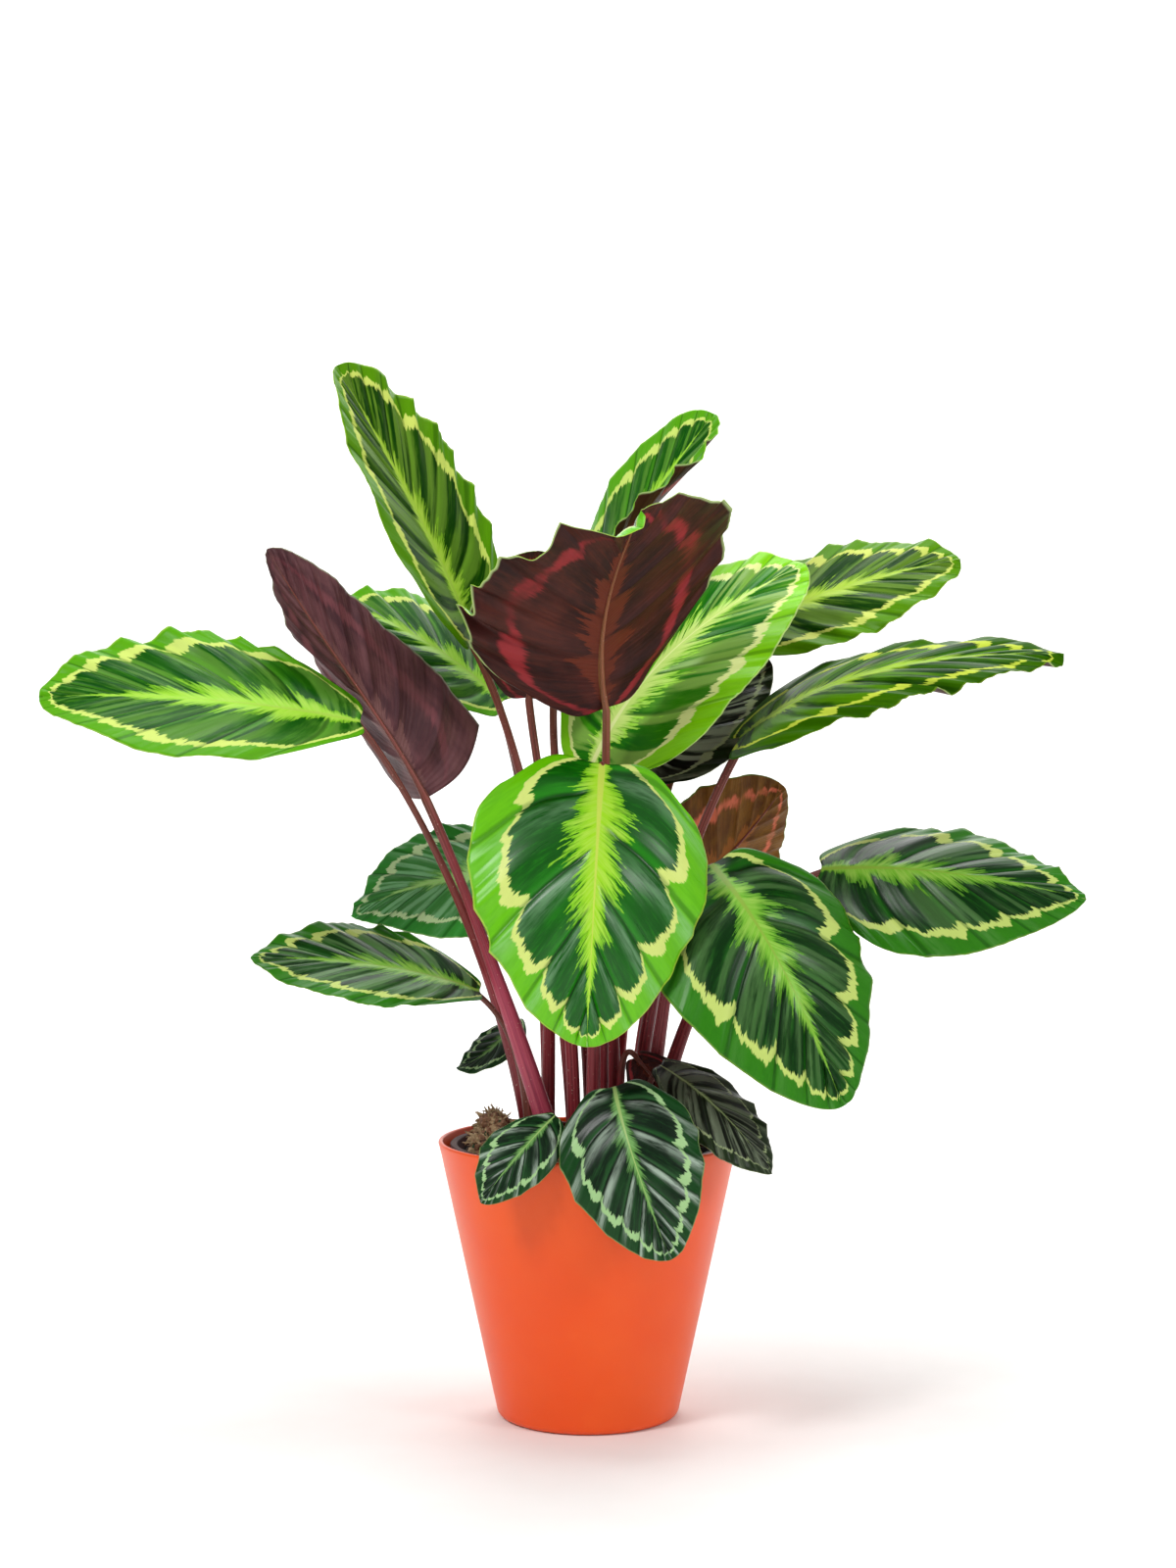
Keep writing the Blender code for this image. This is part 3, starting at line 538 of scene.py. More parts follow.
def bladeSurface(leaf, vein, across, seed):
    station, side = flatBlade(leaf, vein, across)
    place, _, up, right = ribFrames(leaf, station)
    half = leaf["width"] / 2
    scale = min(1.0, half / 55)
    sign = np.sign(across)
    left, reach = across < 0, np.abs(across)
    rng = np.random.default_rng(seed)
    phase = rng.uniform(0, 2 * np.pi, 4)
    swell = rng.uniform(0.75, 1.25, 2)
    lively = np.where(left, *leaf.get("lively", (1.0, 1.0)))
    ruffle = 2 * np.pi * leaf["waves"] * (veinEnd(vein) + 0.018 * np.sin(11 * veinEnd(vein) + phase[1]))
    turned = ruffle + np.where(left, phase[0], phase[1])
    cusp = 1.0 - 2.0 * np.abs(np.sin(turned / 2 - np.pi / 4)) ** 0.8
    uneven = 0.75 + 0.45 * np.sin(ruffle * 0.31 + phase[3])
    wave = np.where(left, swell[0], swell[1]) * (0.35 * np.sin(turned) + 0.55 * cusp) * uneven
    slow = 0.7 * np.sin(ruffle * 0.37 + np.where(left, phase[2], phase[3]))
    ends = smooth(0.0, 0.16, vein) * (1.0 - 0.6 * smooth(0.85, 1.0, vein))
    lift = leaf["wave"] * (wave * lively + slow) * reach**2.4 * ends
    # the margin runs out to a small point at each ruffle
    distance = side * half + 0.9 * scale * lively * (cusp - 0.4) * uneven * reach**7 * ends
    fold = np.radians(np.where(left, leaf["fold"][0], leaf["fold"][1]))
    curl = np.radians(np.where(left, leaf["curl"][0], leaf["curl"][1]))
    curl = np.where(np.abs(curl) < 1e-3, 1e-3, curl)
    turn = fold + curl * distance / half
    sideways = (np.sin(turn) - np.sin(fold)) * half / curl
    upwards = (np.cos(fold) - np.cos(turn)) * half / curl
    # pleats along the side veins, sharp in the valleys, and a fine frill near the margin
    count = pleatCount(leaf, vein, left)
    rounded = np.sqrt(np.abs(np.sin(np.pi * count)) + 0.02) - 0.8
    body = smooth(0.02, 0.22, reach) * (1.0 - 0.75 * smooth(0.75, 1.0, reach)) * smooth(0.0, 0.08, vein)
    body = body * (1.0 - smooth(0.86, 1.0, vein))
    lift = lift + bladeShape["pleatDepth"] * leaf["pleatEvery"] / 0.23 * scale * leaf.get("pleating", 1.0) * rounded * body
    frill = np.sin(ruffle * 2.3 + phase[2]) * np.sin(ruffle * 0.9 + phase[0])
    lift = lift + bladeShape["frill"] * lively * scale * frill * reach**5 * ends
    # fine corrugation that follows every side vein
    lift = lift + 0.05 * scale * np.sin(2 * np.pi * 34 * vein) * smooth(0.05, 0.3, reach) * ends
    normalSide = -np.sin(turn) * sign
    point = place + right * (sign * sideways)[..., None] + up * upwards[..., None]
    return point + (right * normalSide[..., None] + up * np.cos(turn)[..., None]) * lift[..., None]


def gridNormals(points):
    return unit(np.cross(np.gradient(points, axis=1), np.gradient(points, axis=0)))


def bladeMesh(name, leaf, seed):
    rows, columns = bladeShape["rows"], bladeShape["columns"]
    if leaf["width"] < 60:
        rows, columns = rows // 2, columns // 2
    steps = np.linspace(0, 1, rows)
    vein = (1.0 - (1.0 - steps) ** bladeShape["rowCrowding"]) * bladeShape["lastRow"]
    spread = np.linspace(-1, 1, columns + 1)
    spread = np.sign(spread) * np.abs(spread) ** 0.9
    veins, across = np.meshgrid(vein, spread, indexing="ij")
    middle = bladeSurface(leaf, veins, across, seed)
    inset = 0.4 * mm
    middle = np.clip(middle, (cadLow + inset) / mm, (cadHigh - inset) / mm)  # room for the thickness
    normal = gridNormals(middle)
    half = bladeShape["thickness"] / 2 * (1.0 - 0.55 * np.abs(across)[..., None] ** 6)
    wide = columns + 1
    grid = rows * wide
    tip, _, tipUp, _ = ribFrames(leaf, np.array([1.0]))
    points = np.vstack([
        (middle + normal * half).reshape(-1, 3), (middle - normal * half).reshape(-1, 3),
        tip + tipUp * 0.12, tip - tipUp * 0.12,
    ])
    points = np.clip(points * mm, cadLow, cadHigh)
    i, j = (n.ravel() for n in np.meshgrid(np.arange(rows - 1), np.arange(columns), indexing="ij"))
    corner = np.stack([i * wide + j, i * wide + j + 1, (i + 1) * wide + j + 1, (i + 1) * wide + j], axis=1)
    last = (rows - 1) * wide
    faces = corner.tolist() + (corner[:, ::-1] + grid).tolist()
    faces += [(last + k, last + k + 1, 2 * grid) for k in range(columns)]
    faces += [(grid + last + k + 1, grid + last + k, 2 * grid + 1) for k in range(columns)]
    around = list(range(wide)) + [r * wide + columns for r in range(1, rows)] + [2 * grid]
    around += [r * wide for r in range(rows - 1, 0, -1)]
    for a, b in zip(around, around[1:] + around[:1]):
        under = [v + 1 if v == 2 * grid else v + grid for v in (a, b)]
        faces.append((b, a, under[0], under[1]))
    mesh = bpy.data.meshes.new(name)
    mesh.from_pydata(points.tolist(), [], faces)
    # pattern coordinates and the bake unwrap, upper and lower side apart
    station, side = flatBlade(leaf, veins, across)
    flat = np.stack([across, veins, np.sign(across) * side, station], axis=-1).reshape(-1, 4)
    flat = np.vstack([flat, flat, [[0, 1, 0, 1]], [[0, 1, 0, 1]]])
    loops = np.zeros(len(mesh.loops), int)
    mesh.loops.foreach_get("vertex_index", loops)
    starts = np.zeros(len(mesh.polygons), int)
    mesh.polygons.foreach_get("loop_start", starts)
    totals = np.zeros(len(mesh.polygons), int)
    mesh.polygons.foreach_get("loop_total", totals)
    face = np.repeat(np.arange(len(starts)), totals)
    values = flat[loops]
    leftness = np.add.reduceat(values[:, 0], starts)[face] < 0
    count = pleatCount(leaf, values[:, 1], leftness)
    # a face at the tip belongs to one side, so the sign comes from the face, not the corner
    signed = np.where(leftness, -1.0, 1.0) * np.maximum(np.abs(values[:, 0]), 1e-4)
    isTop = (loops < grid) | (loops == 2 * grid)
    top = np.logical_and.reduceat(isTop, starts)[face]
    rim = np.logical_or.reduceat(isTop, starts)[face] & ~top
    bake = np.stack([
        np.where(top | rim, 0.25, 0.75) + 0.235 * values[:, 2],
        0.07 + 0.91 * values[:, 3],
    ], axis=1)
    bake[rim & ~isTop, 0] += 0.004 * np.sign(values[rim & ~isTop, 2])
    for label, uv in (("OFBake", bake), ("veins", np.stack([values[:, 1], signed], 1)),
                      ("lobes", np.stack([count, signed], 1))):
        layer = mesh.uv_layers.new(name=label)
        layer.data.foreach_set("uv", uv.astype(np.float32).ravel())
    materialIndex = np.zeros(len(mesh.polygons), int)
    materialIndex[~(np.logical_or.reduceat(isTop, starts))] = 1
    mesh.polygons.foreach_set("material_index", materialIndex)
    mesh.shade_smooth()
    return mesh


# Stalks
stalkShape = {"seatGap": 0.4, "soilCrown": 160.0, "clear": 4.0, "depth": 24.0, "bladeThickness": 0.8,
              "steps": 44, "sides": 20, "ribSteps": 40}


def stalkLine(leaf):
    base, _, up, _ = ribFrames(leaf, np.array([0.0]))
    arrival = unit(np.array(leaf["arrive"], float))
    reachUp = leaf["thick"][1] * math.sqrt(max(0.0, 1.0 - float(arrival @ up[0]) ** 2))
    end = base[0] - up[0] * (stalkShape["bladeThickness"] / 2 + stalkShape["seatGap"] + reachUp)
    foot = np.array([*leaf["crown"], stalkShape["soilCrown"] + stalkShape["clear"]], float)
    lean = unit(np.array(leaf["lean"], float))
    setOff, comeIn = leaf["reach"]
    points = [foot, foot + lean * setOff, end - arrival * comeIn, end]
    travelled = np.linspace(0, 1, stalkShape["steps"])
    line, _ = cubic(points, travelled)
    sheath, top = leaf["thick"]
    radius = top + (sheath - top) * (1.0 - smooth(0.05, 0.75, travelled))
    # the buried foot below, and the raised rib under the blade beyond
    buried = foot - np.array([[0, 0, 20.0], [0, 0, 8.0]])
    station = np.linspace(0.02, 0.9, stalkShape["ribSteps"])
    rib, _, ribUp, _ = ribFrames(leaf, station)
    ribRadius = np.interp(station, [0, 0.12, 0.9], [top * 0.86, top * 0.55, 0.35])
    sunk = np.interp(station, [0, 0.12, 0.9], [1.0, 0.7, 0.2])[:, None]
    rib = rib - ribUp * (0.25 + ribRadius[:, None] * sunk)
    line = np.vstack([buried, line, rib])
    radius = np.concatenate([[sheath] * 2, radius, ribRadius])
    share = np.concatenate([[0, 0], travelled * 0.7, 0.7 + 0.3 * station])
    return line, radius, share


def tubeMesh(name, line, radius, share, sides):
    # A tube with a steady frame along it, so that its grain doesn't twist
    heading = unit(np.gradient(line, axis=0))
    across = np.cross(heading[0], (0.0, 1.0, 0.3))
    points, coordinates = [], []
    angles = np.linspace(0, 2 * np.pi, sides, endpoint=False)
    for place, ahead, r in zip(line, heading, radius):
        across = unit(across - ahead * (across @ ahead))
        other = np.cross(ahead, across)
        wobble = 1.0 + 0.05 * np.sin(3 * angles + 1.0)
        points.append(place + r * (np.cos(angles) * wobble)[:, None] * across
                      + r * (np.sin(angles) * wobble)[:, None] * other)
    count = len(line)
    faces = [
        (i * sides + k, i * sides + (k + 1) % sides, (i + 1) * sides + (k + 1) % sides, (i + 1) * sides + k)
        for i in range(count - 1) for k in range(sides)
    ]
    faces.append(tuple(range(sides))[::-1])
    faces.append(tuple((count - 1) * sides + k for k in range(sides)))
    mesh = bpy.data.meshes.new(name)
    mesh.from_pydata((np.vstack(points) * mm).tolist(), [], faces)
    travelled = np.concatenate([[0], np.cumsum(np.linalg.norm(np.diff(line, axis=0), axis=1))])
    bake = mesh.uv_layers.new(name="OFBake")
    along = mesh.uv_layers.new(name="along")
    for face in mesh.polygons:
        ring = face.index % sides
        for loop, vertex in zip(face.loop_indices, face.vertices):
            i, k = divmod(vertex, sides)
            if face.index < (count - 1) * sides:
                k = sides if ring == sides - 1 and k == 0 else k
                bake.data[loop].uv = (0.02 + 0.9 * k / sides, 0.01 + 0.98 * travelled[i] / travelled[-1])
            else:
                bake.data[loop].uv = (0.96 + 0.015 * math.cos(angles[k]),
                                      0.03 + 0.03 * (i > 0) + 0.015 * math.sin(angles[k]))
            along.data[loop].uv = (share[i], k / sides)
    mesh.shade_smooth()
    return mesh


def stalkMaterial(name, seed, low, middle, high):
    # Glossy red sheath low down, browner above, with fine lengthwise lines and pale specks
    material, s, shader = newMaterial(name, coat=0.12, coatRoughness=0.25, specular=0.3)
    where = s.tree.nodes.new("ShaderNodeUVMap")
    where.uv_map = "along"
    split = s.tree.nodes.new("ShaderNodeSeparateXYZ")
    s.tree.links.new(where.outputs[0], split.inputs[0])
    along, around = split.outputs[0], split.outputs[1]
    place = s.tree.nodes.new("ShaderNodeTexCoord").outputs["Object"]
    turned = s.math("MULTIPLY", around, 2 * math.pi)
    circle = s.join(s.math("MULTIPLY", s.math("COSINE", turned), 3.0),
                    s.math("MULTIPLY", s.math("SINE", turned), 3.0),
                    s.math("MULTIPLY_ADD", along, 1.6, seed))
    lines = s.noise(circle, 1.6, 3.0, 0.6)
    patches = s.noise(place, 55.0, 3.0, 0.6)
    colour = s.ramp(s.math("MULTIPLY_ADD", s.math("SUBTRACT", patches, 0.5), 0.22, along),
                    [(0.0, low), (0.26, low), (0.46, middle), (0.68, high), (1.0, high)])
    colour = s.mix(s.math("MULTIPLY", s.step(lines, 0.42, 0.75), 0.5), colour, paint(190, 96, 100))
    colour = s.mix(s.math("MULTIPLY", s.step(lines, 0.5, 0.25), 0.55), colour, paint(48, 14, 20))
    specks = s.step(s.noise(place, 900.0, 0.0), 0.78, 0.83)
    colour = s.mix(s.math("MULTIPLY", specks, 0.6), colour, paint(200, 160, 140))
    s.put(shader.inputs["Base Color"], colour)
    s.put(shader.inputs["Roughness"], s.math("MULTIPLY_ADD", lines, 0.2, 0.26))
    bump(s, shader, lines, 0.0004)
    return material


crimson, brown = paint(134, 34, 44), paint(104, 54, 38)


# Each leaf with its stalk. See the source for what the shape values mean; pleats sets where the
# pleats start on the left and right half, upper and under name its colours.
def growLeaf(name, leaf, upper="deep", under="purple", stalk=(crimson, crimson, brown), **markings):
    growLeaf.count += 1
    seed = growLeaf.count
    leaf.setdefault("pleats", (0.10, 0.02))
    leaf.setdefault("pleatEvery", 0.17)
    labels = {"middleWidth": "Middle Width", "ringPlace": "Ring Place", "ringWidth": "Ring Width",
              "silvering": "Painted Sheen", "scallop": "Scallop", "wash": "Painted Light", "stripes": "Stripes"}
    values = {labels[key]: value for key, value in markings.items()}
    materials = leafMaterials(name, seed, upper, under, values)
    addPiece("blade_" + name, bladeMesh("blade_" + name, leaf, seed), materials, ("leaf_" + name,))
    line, radius, share = stalkLine(leaf)
    mesh = tubeMesh("stem_" + name, line, radius, share, stalkShape["sides"])
    addPiece("stem_" + name, mesh, [stalkMaterial("stem_" + name, seed * 1.3, *stalk)], ("stalk_" + name,))


growLeaf.count = 0

growLeaf("front", dict(
    base=(8, -75, 393), tip=(-1, -110, 235), face=(0, -1, 0.25), width=146,
    shape=(0.66, 0.54), arch=(36, 24), fold=(-10, 0), curl=(-34, -6),
    wave=2.0, waves=6, crown=(3, -29), lean=(0, 0, 1), arrive=(0, -0.8, 0.5),
    reach=(90, 40), thick=(4.2, 2.4), pleats=(0.03, 0.12), pleatEvery=0.23, lively=(0.5, 1.6), pleating=1.5,
), upper="bright", ringPlace=0.80, scallop=1.0, middleWidth=1.1, silvering=0.3)

growLeaf("right_front", dict(
    base=(72, -48, 334), tip=(145, -86, 198), face=(0.25, -1, 0.4), width=138,
    shape=(0.64, 0.56), arch=(30, 20), fold=(-6, -2), curl=(-30, -8),
    wave=1.8, waves=6, crown=(34, -12), lean=(0.15, 0, 1), arrive=(0.6, -0.7, 0.35),
    reach=(70, 36), thick=(4.6, 2.6), pleats=(0.06, 0.14), pleatEvery=0.21, lively=(0.8, 0.8), pleating=1.5,
), upper="deep", silvering=0.3, stripes=0.3, scallop=0.9, stalk=(crimson, brown, brown))

growLeaf("left_far", dict(
    base=(-132, -55, 417), tip=(-311, -90, 431), face=(0, -0.63, 0.77), width=120,
    shape=(1.02, 0.6), arch=(10, 10), fold=(12, 10), curl=(-12, -14),
    wave=2.6, waves=8, crown=(-35, -1), lean=(-0.12, -0.1, 1), arrive=(-0.6, -0.2, 0.75),
    reach=(90, 60), thick=(4.2, 2.0), lively=(0.4, 1.4),
), upper="leafy", silvering=0.2, stripes=0.45, scallop=0.25, ringPlace=0.83, stalk=(crimson, brown, brown))

growLeaf("rolled", dict(
    base=(-95, -38, 372), tip=(-185, -58, 517), face=(-0.08, 1, 0.1), width=124,
    shape=(0.46, 0.46), shapeLeft=(0.24, 0.46), lobe=0.01, arch=(-3, -5), bow=(-6, 4), fold=(24, 64), curl=(30, 20),
    wave=2.4, waves=6, crown=(-20, -27), lean=(-0.3, 0, 1), arrive=(-0.42, 0, 0.9),
    reach=(70, 50), thick=(6.0, 2.8), pleating=2.2, pleatEvery=0.14,
), upper="deep", under="plum", stalk=(paint(172, 60, 86), paint(150, 50, 62), brown))

growLeaf("upper_left", dict(
    base=(-70, 20, 469), tip=(-150, -5, 629), face=(0.78, -0.46, 0.42), width=126,
    shape=(0.82, 0.44), arch=(6, 4), fold=(13, 14), curl=(-6, -10),
    wave=2.4, waves=8, crown=(-8, 3), lean=(-0.05, 0, 1), arrive=(-0.5, 0, 0.85),
    reach=(130, 60), thick=(4.4, 2.4), lively=(0.3, 1.4),
), upper="olive", silvering=0.2, middleWidth=0.75, stripes=0.5, scallop=0.25, stalk=(crimson, brown, brown))

growLeaf("left_back", dict(
    base=(-53, 48, 429), tip=(-168, 62, 494), face=(0.1, -0.45, 0.88), width=112,
    shape=(0.8, 0.58), arch=(14, 14), fold=(4, 2), curl=(-10, -8),
    wave=2.2, waves=7, crown=(-24, 18), lean=(0, 0.5, 1), arrive=(-0.3, 0.1, 0.9),
    reach=(130, 50), thick=(4.2, 2.2),
), upper="leafy", silvering=0.15, stripes=0.4, scallop=0.3, stalk=(crimson, brown, brown))

growLeaf("purple", dict(
    base=(10, -22, 425), tip=(29, -147, 532), face=(-0.33, 0.57, 0.74), width=176,
    shape=(1.05, 0.66), arch=(22, 16), bow=(8, 0), shapeLeft=(1.12, 0.6), fold=(10, 0), curl=(16, 6),
    wave=3.0, waves=7, crown=(8, -13), lean=(0, 0, 1), arrive=(0, -0.3, 0.95),
    reach=(120, 60), thick=(4.4, 2.4), lively=(1.0, 2.4), pleatEvery=0.21, pleating=1.3,
), upper="bright", stalk=(crimson, crimson, paint(150, 98, 62)))

growLeaf("purple_back", dict(
    base=(-35, 2, 431), tip=(-30, -36, 517), face=(0.1, 0.8, 0.4), width=88,
    shape=(0.8, 0.58), arch=(2, 0), fold=(18, 18), curl=(10, 10),
    wave=1.8, waves=6, crown=(-8, -14), lean=(0, 0, 1), arrive=(-0.1, -0.1, 1),
    reach=(120, 50), thick=(4.0, 2.4),
), upper="bright", stalk=(crimson, brown, brown))

growLeaf("upper_right", dict(
    base=(-16, 45, 470), tip=(78, 55, 607), face=(-0.82, -0.28, 0.5), width=108,
    shape=(0.95, 0.46), arch=(4, 4), twist=32, fold=(0, 12), curl=(-8, 50),
    wave=2.2, waves=7, crown=(2, 16), lean=(0, 0, 1), arrive=(0.4, 0, 0.9),
    reach=(130, 60), thick=(4.2, 2.4), lively=(0.3, 1.4),
), upper="leafy", stripes=0.4, scallop=0.3, stalk=(crimson, brown, brown))

growLeaf("bright_back", dict(
    base=(3, 12, 392), tip=(133, 38, 514), face=(-0.25, -0.68, 0.68), width=124,
    shape=(0.72, 0.54), arch=(30, 18), bow=(-8, -6), fold=(0, 2), curl=(-10, -8),
    wave=2.6, waves=7, crown=(16, 2), lean=(0, 0, 1), arrive=(0.1, -0.6, 0.8),
    reach=(120, 36), thick=(4.4, 2.4),
), upper="fresh", middleWidth=1.2, stripes=0.6)

growLeaf("right_low", dict(
    base=(141, 10, 328), tip=(295, -25, 312), face=(0, -0.7, 0.72), width=112,
    shape=(0.78, 0.7), arch=(14, 10), fold=(-10, -12), curl=(-16, -16),
    wave=1.8, waves=8, crown=(38, 3), lean=(0.25, 0, 1), arrive=(0.9, -0.1, 0.3),
    reach=(90, 60), thick=(4.6, 2.4),
), upper="deep", silvering=0.25, stripes=0.3, stalk=(crimson, brown, brown))

growLeaf("right_mid", dict(
    base=(91, 0, 407), tip=(280, -30, 457), face=(-0.1, -0.24, 0.96), width=112,
    shape=(0.6, 0.42), arch=(31, 18), fold=(2, 0), curl=(-2, -20),
    wave=2.6, waves=10, crown=(29, 15), lean=(0.05, -0.05, 1), arrive=(0.5, 0, 0.85),
    reach=(110, 50), thick=(4.4, 2.6), lively=(0.4, 1.6),
), upper="shady", silvering=0.2, stripes=0.55, stalk=(crimson, brown, brown))

growLeaf("right_top", dict(
    base=(93, 92, 472), tip=(234, 80, 519), face=(-0.1, -0.55, 0.84), width=112,
    shape=(0.8, 0.54), arch=(12, 8), fold=(2, 2), curl=(-8, -10),
    wave=2.4, waves=7, crown=(16, 28), lean=(0.05, 0.5, 1), arrive=(0.6, 0.1, 0.75),
    reach=(150, 60), thick=(4.2, 2.2),
), upper="olive", silvering=0.2, stripes=0.5, stalk=(crimson, brown, brown))

growLeaf("dark_back", dict(
    base=(33, 50, 387), tip=(113, 74, 456), face=(-0.4, -0.8, 0.45), width=80,
    shape=(0.72, 0.58), arch=(6, 6), fold=(4, 4), curl=(-10, -10),
    wave=1.8, waves=6, crown=(2, 31), lean=(0, 0, 1), arrive=(0.5, 0, 0.85),
    reach=(110, 40), thick=(4.2, 2.2),
), upper="dusky", silvering=0.7, middleWidth=0.5, stripes=0.95, stalk=(crimson, brown, brown))

growLeaf("amber", dict(
    base=(57, 70, 302), tip=(124, 90, 376), face=(-0.4, 0.8, 0.5), width=104,
    shape=(0.8, 0.54), arch=(-4, -6), fold=(6, 6), curl=(8, 8),
    wave=1.8, waves=6, crown=(30, 29), lean=(0, 0.1, 1), arrive=(0.5, 0.1, 0.85),
    reach=(60, 40), thick=(4.2, 2.2),
), upper="bright", under="amber", stalk=(crimson, brown, brown))

# left_mid gets a little painted light over its whole upper side
growLeaf("left_mid", dict(
    base=(-34, 34, 327), tip=(-144, 16, 299), face=(0.05, -0.72, 0.7), width=94,
    shape=(0.72, 0.8), arch=(10, 20), fold=(2, 2), curl=(-12, -14),
    wave=1.8, waves=7, crown=(-24, 6), lean=(0, 0, 1), arrive=(-0.5, -0.2, 0.8),
    reach=(90, 30), thick=(4.2, 2.2),
), upper="pale", silvering=0.3, stripes=0.75, wash=0.1, stalk=(crimson, brown, brown))

growLeaf("left_low", dict(
    base=(-64, -30, 258), tip=(-196, -55, 280), face=(0.1, -0.5, 0.86), width=82,
    shape=(1.02, 0.64), arch=(12, 8), fold=(8, 6), curl=(-12, -12),
    wave=1.8, waves=7, crown=(-34, -13), lean=(-0.05, 0, 1), arrive=(-0.75, -0.2, 0.6),
    reach=(44, 26), thick=(3.2, 1.7),
), upper="deep", silvering=0.3, stripes=0.6, stalk=(brown, brown, brown))

growLeaf("small_left", dict(
    base=(-44, 32, 234), tip=(-80, 14, 207), face=(-0.3, -0.55, 0.75), width=34,
    shape=(0.9, 0.7), arch=(4, 2), bow=(-10, -14), fold=(4, 4), curl=(-8, -8),
    wave=1.0, waves=4, crown=(-36, 16), lean=(0, 0, 1), arrive=(-0.4, -0.2, 0.8),
    reach=(40, 16), thick=(3.2, 1.5),
), upper="night", stalk=(crimson, brown, brown))

growLeaf("rim_left", dict(
    base=(-19, -74, 191), tip=(-61, -97, 145), face=(0.15, -0.85, 0.5), width=40,
    shape=(1.15, 0.75), shapeLeft=(0.85, 0.58), arch=(12, 10), fold=(2, 2), curl=(-14, -14),
    wave=1.4, waves=5, crown=(-8, -38), lean=(0, -0.2, 1), arrive=(-0.1, -0.8, 0.6),
    reach=(12, 12), thick=(3.0, 1.6),
), upper="night", silvering=0.7, middleWidth=0.6, stalk=(crimson, brown, brown))

growLeaf("rim_front", dict(
    base=(15, -78, 208), tip=(46, -116, 116), face=(-0.25, -1, 0.35), width=84,
    shape=(0.72, 0.56), arch=(24, 12), fold=(-10, 0), curl=(-30, -8),
    wave=1.2, waves=5, crown=(13, -41), lean=(0, -0.15, 1), arrive=(0, -0.8, 0.6),
    reach=(18, 14), thick=(3.2, 1.9), pleating=1.4,
), upper="night", silvering=0.7, middleWidth=0.6, stalk=(crimson, brown, brown))

growLeaf("rim_right", dict(
    base=(42, -53, 217), tip=(106, -72, 157), face=(0.5, -0.6, 0.6), width=54,
    shape=(0.9, 0.62), arch=(10, 8), fold=(2, -4), curl=(-10, -20),
    wave=1.6, waves=6, crown=(30, -42), lean=(0, -0.3, 1), arrive=(0.6, -0.3, 0.7),
    reach=(24, 14), thick=(3.2, 1.8),
), upper="dusky", silvering=0.6, middleWidth=0.3, ringWidth=0.02, stripes=0.38, stalk=(crimson, brown, brown))

growLeaf("rim_purple", dict(
    base=(28, -24, 218), tip=(69, -38, 168), face=(-0.5, 0.8, 0.2), width=40,
    shape=(0.85, 0.6), arch=(-4, -4), fold=(4, 4), curl=(6, 6),
    wave=1.2, waves=5, crown=(19, -18), lean=(0, 0, 1), arrive=(0.65, -0.28, -0.7),
    reach=(40, 14), thick=(3.0, 1.8),
), upper="night", stalk=(crimson, brown, brown))
print("leaves and stalks grown:", growLeaf.count)


# Pots
pot = {"height": 166.0, "topRadius": 90.0, "baseRadius": 54.0, "wall": 2.6, "floor": 3.0, "bead": 1.4,
       "footRound": 5.0, "sides": 192}
nursery = {"topRadius": 80.0, "baseRadius": 43.0, "height": 164.0, "wall": 1.2, "lip": 3.0, "sides": 128,
           "seatGap": 0.4}


def turnedMesh(name, profile, sides, sharp=40):
    angles = np.linspace(0, 2 * np.pi, sides, endpoint=False)
    shape = bmesh.new()
    rings = []
    for radius, height in profile:
        if radius < 1e-6:
            rings.append([shape.verts.new((0, 0, height * mm))])
        else:
            rings.append([shape.verts.new((radius * math.cos(a) * mm, radius * math.sin(a) * mm, height * mm))
                          for a in angles])
    for low, high in zip(rings, rings[1:]):
        for k in range(sides):
            n = (k + 1) % sides
            if len(low) == 1:
                shape.faces.new((low[0], high[n], high[k]))
            elif len(high) == 1:
                shape.faces.new((low[k], low[n], high[0]))
            else:
                shape.faces.new((low[k], low[n], high[n], high[k]))
    mesh = bpy.data.meshes.new(name)
    shape.to_mesh(mesh)
    shape.free()
    mesh.shade_smooth()
    mesh.set_sharp_from_angle(angle=math.radians(sharp))
    return mesh


def arc(centre, radius, start, stop, steps):
    turns = [math.radians(start + (stop - start) * k / steps) for k in range(steps + 1)]
    return [(centre[0] + radius * math.cos(t), centre[1] + radius * math.sin(t)) for t in turns]


def mouldedPlastic():
    # Fine moulded grain, faint cloudiness and a few scuffs
    group, s, given, out = newGroup(
        "mouldedPlastic",
        [("Color", "Color", None), ("Worn Color", "Color", None), ("Roughness", "Float", 0.45), ("Grain", "Float", 1.0)],
        [("Color", "Color"), ("Roughness", "Float"), ("Height", "Float")],
    )
    place = s.tree.nodes.new("ShaderNodeTexCoord").outputs["Object"]
    cloud = s.noise(place, 14.0, 3.0, 0.55)
    grain = s.noise(place, 1400.0, 2.0, 0.6)
    scuff = s.step(s.noise(place, 60.0, 5.0, 0.7), 0.60, 0.72)
    colour = s.mix(s.math("MULTIPLY", s.step(cloud, 0.35, 0.7), 0.3), given["Color"], given["Worn Color"])
    colour = s.mix(s.math("MULTIPLY", scuff, 0.12), colour, given["Worn Color"])
    s.put(out["Color"], colour)
    s.put(out["Roughness"], s.math("ADD", given["Roughness"], s.math("MULTIPLY", s.math("SUBTRACT", cloud, 0.5), 0.12)))
    s.put(out["Height"], s.math("MULTIPLY", grain, given["Grain"]))
    return group


plastic = mouldedPlastic()


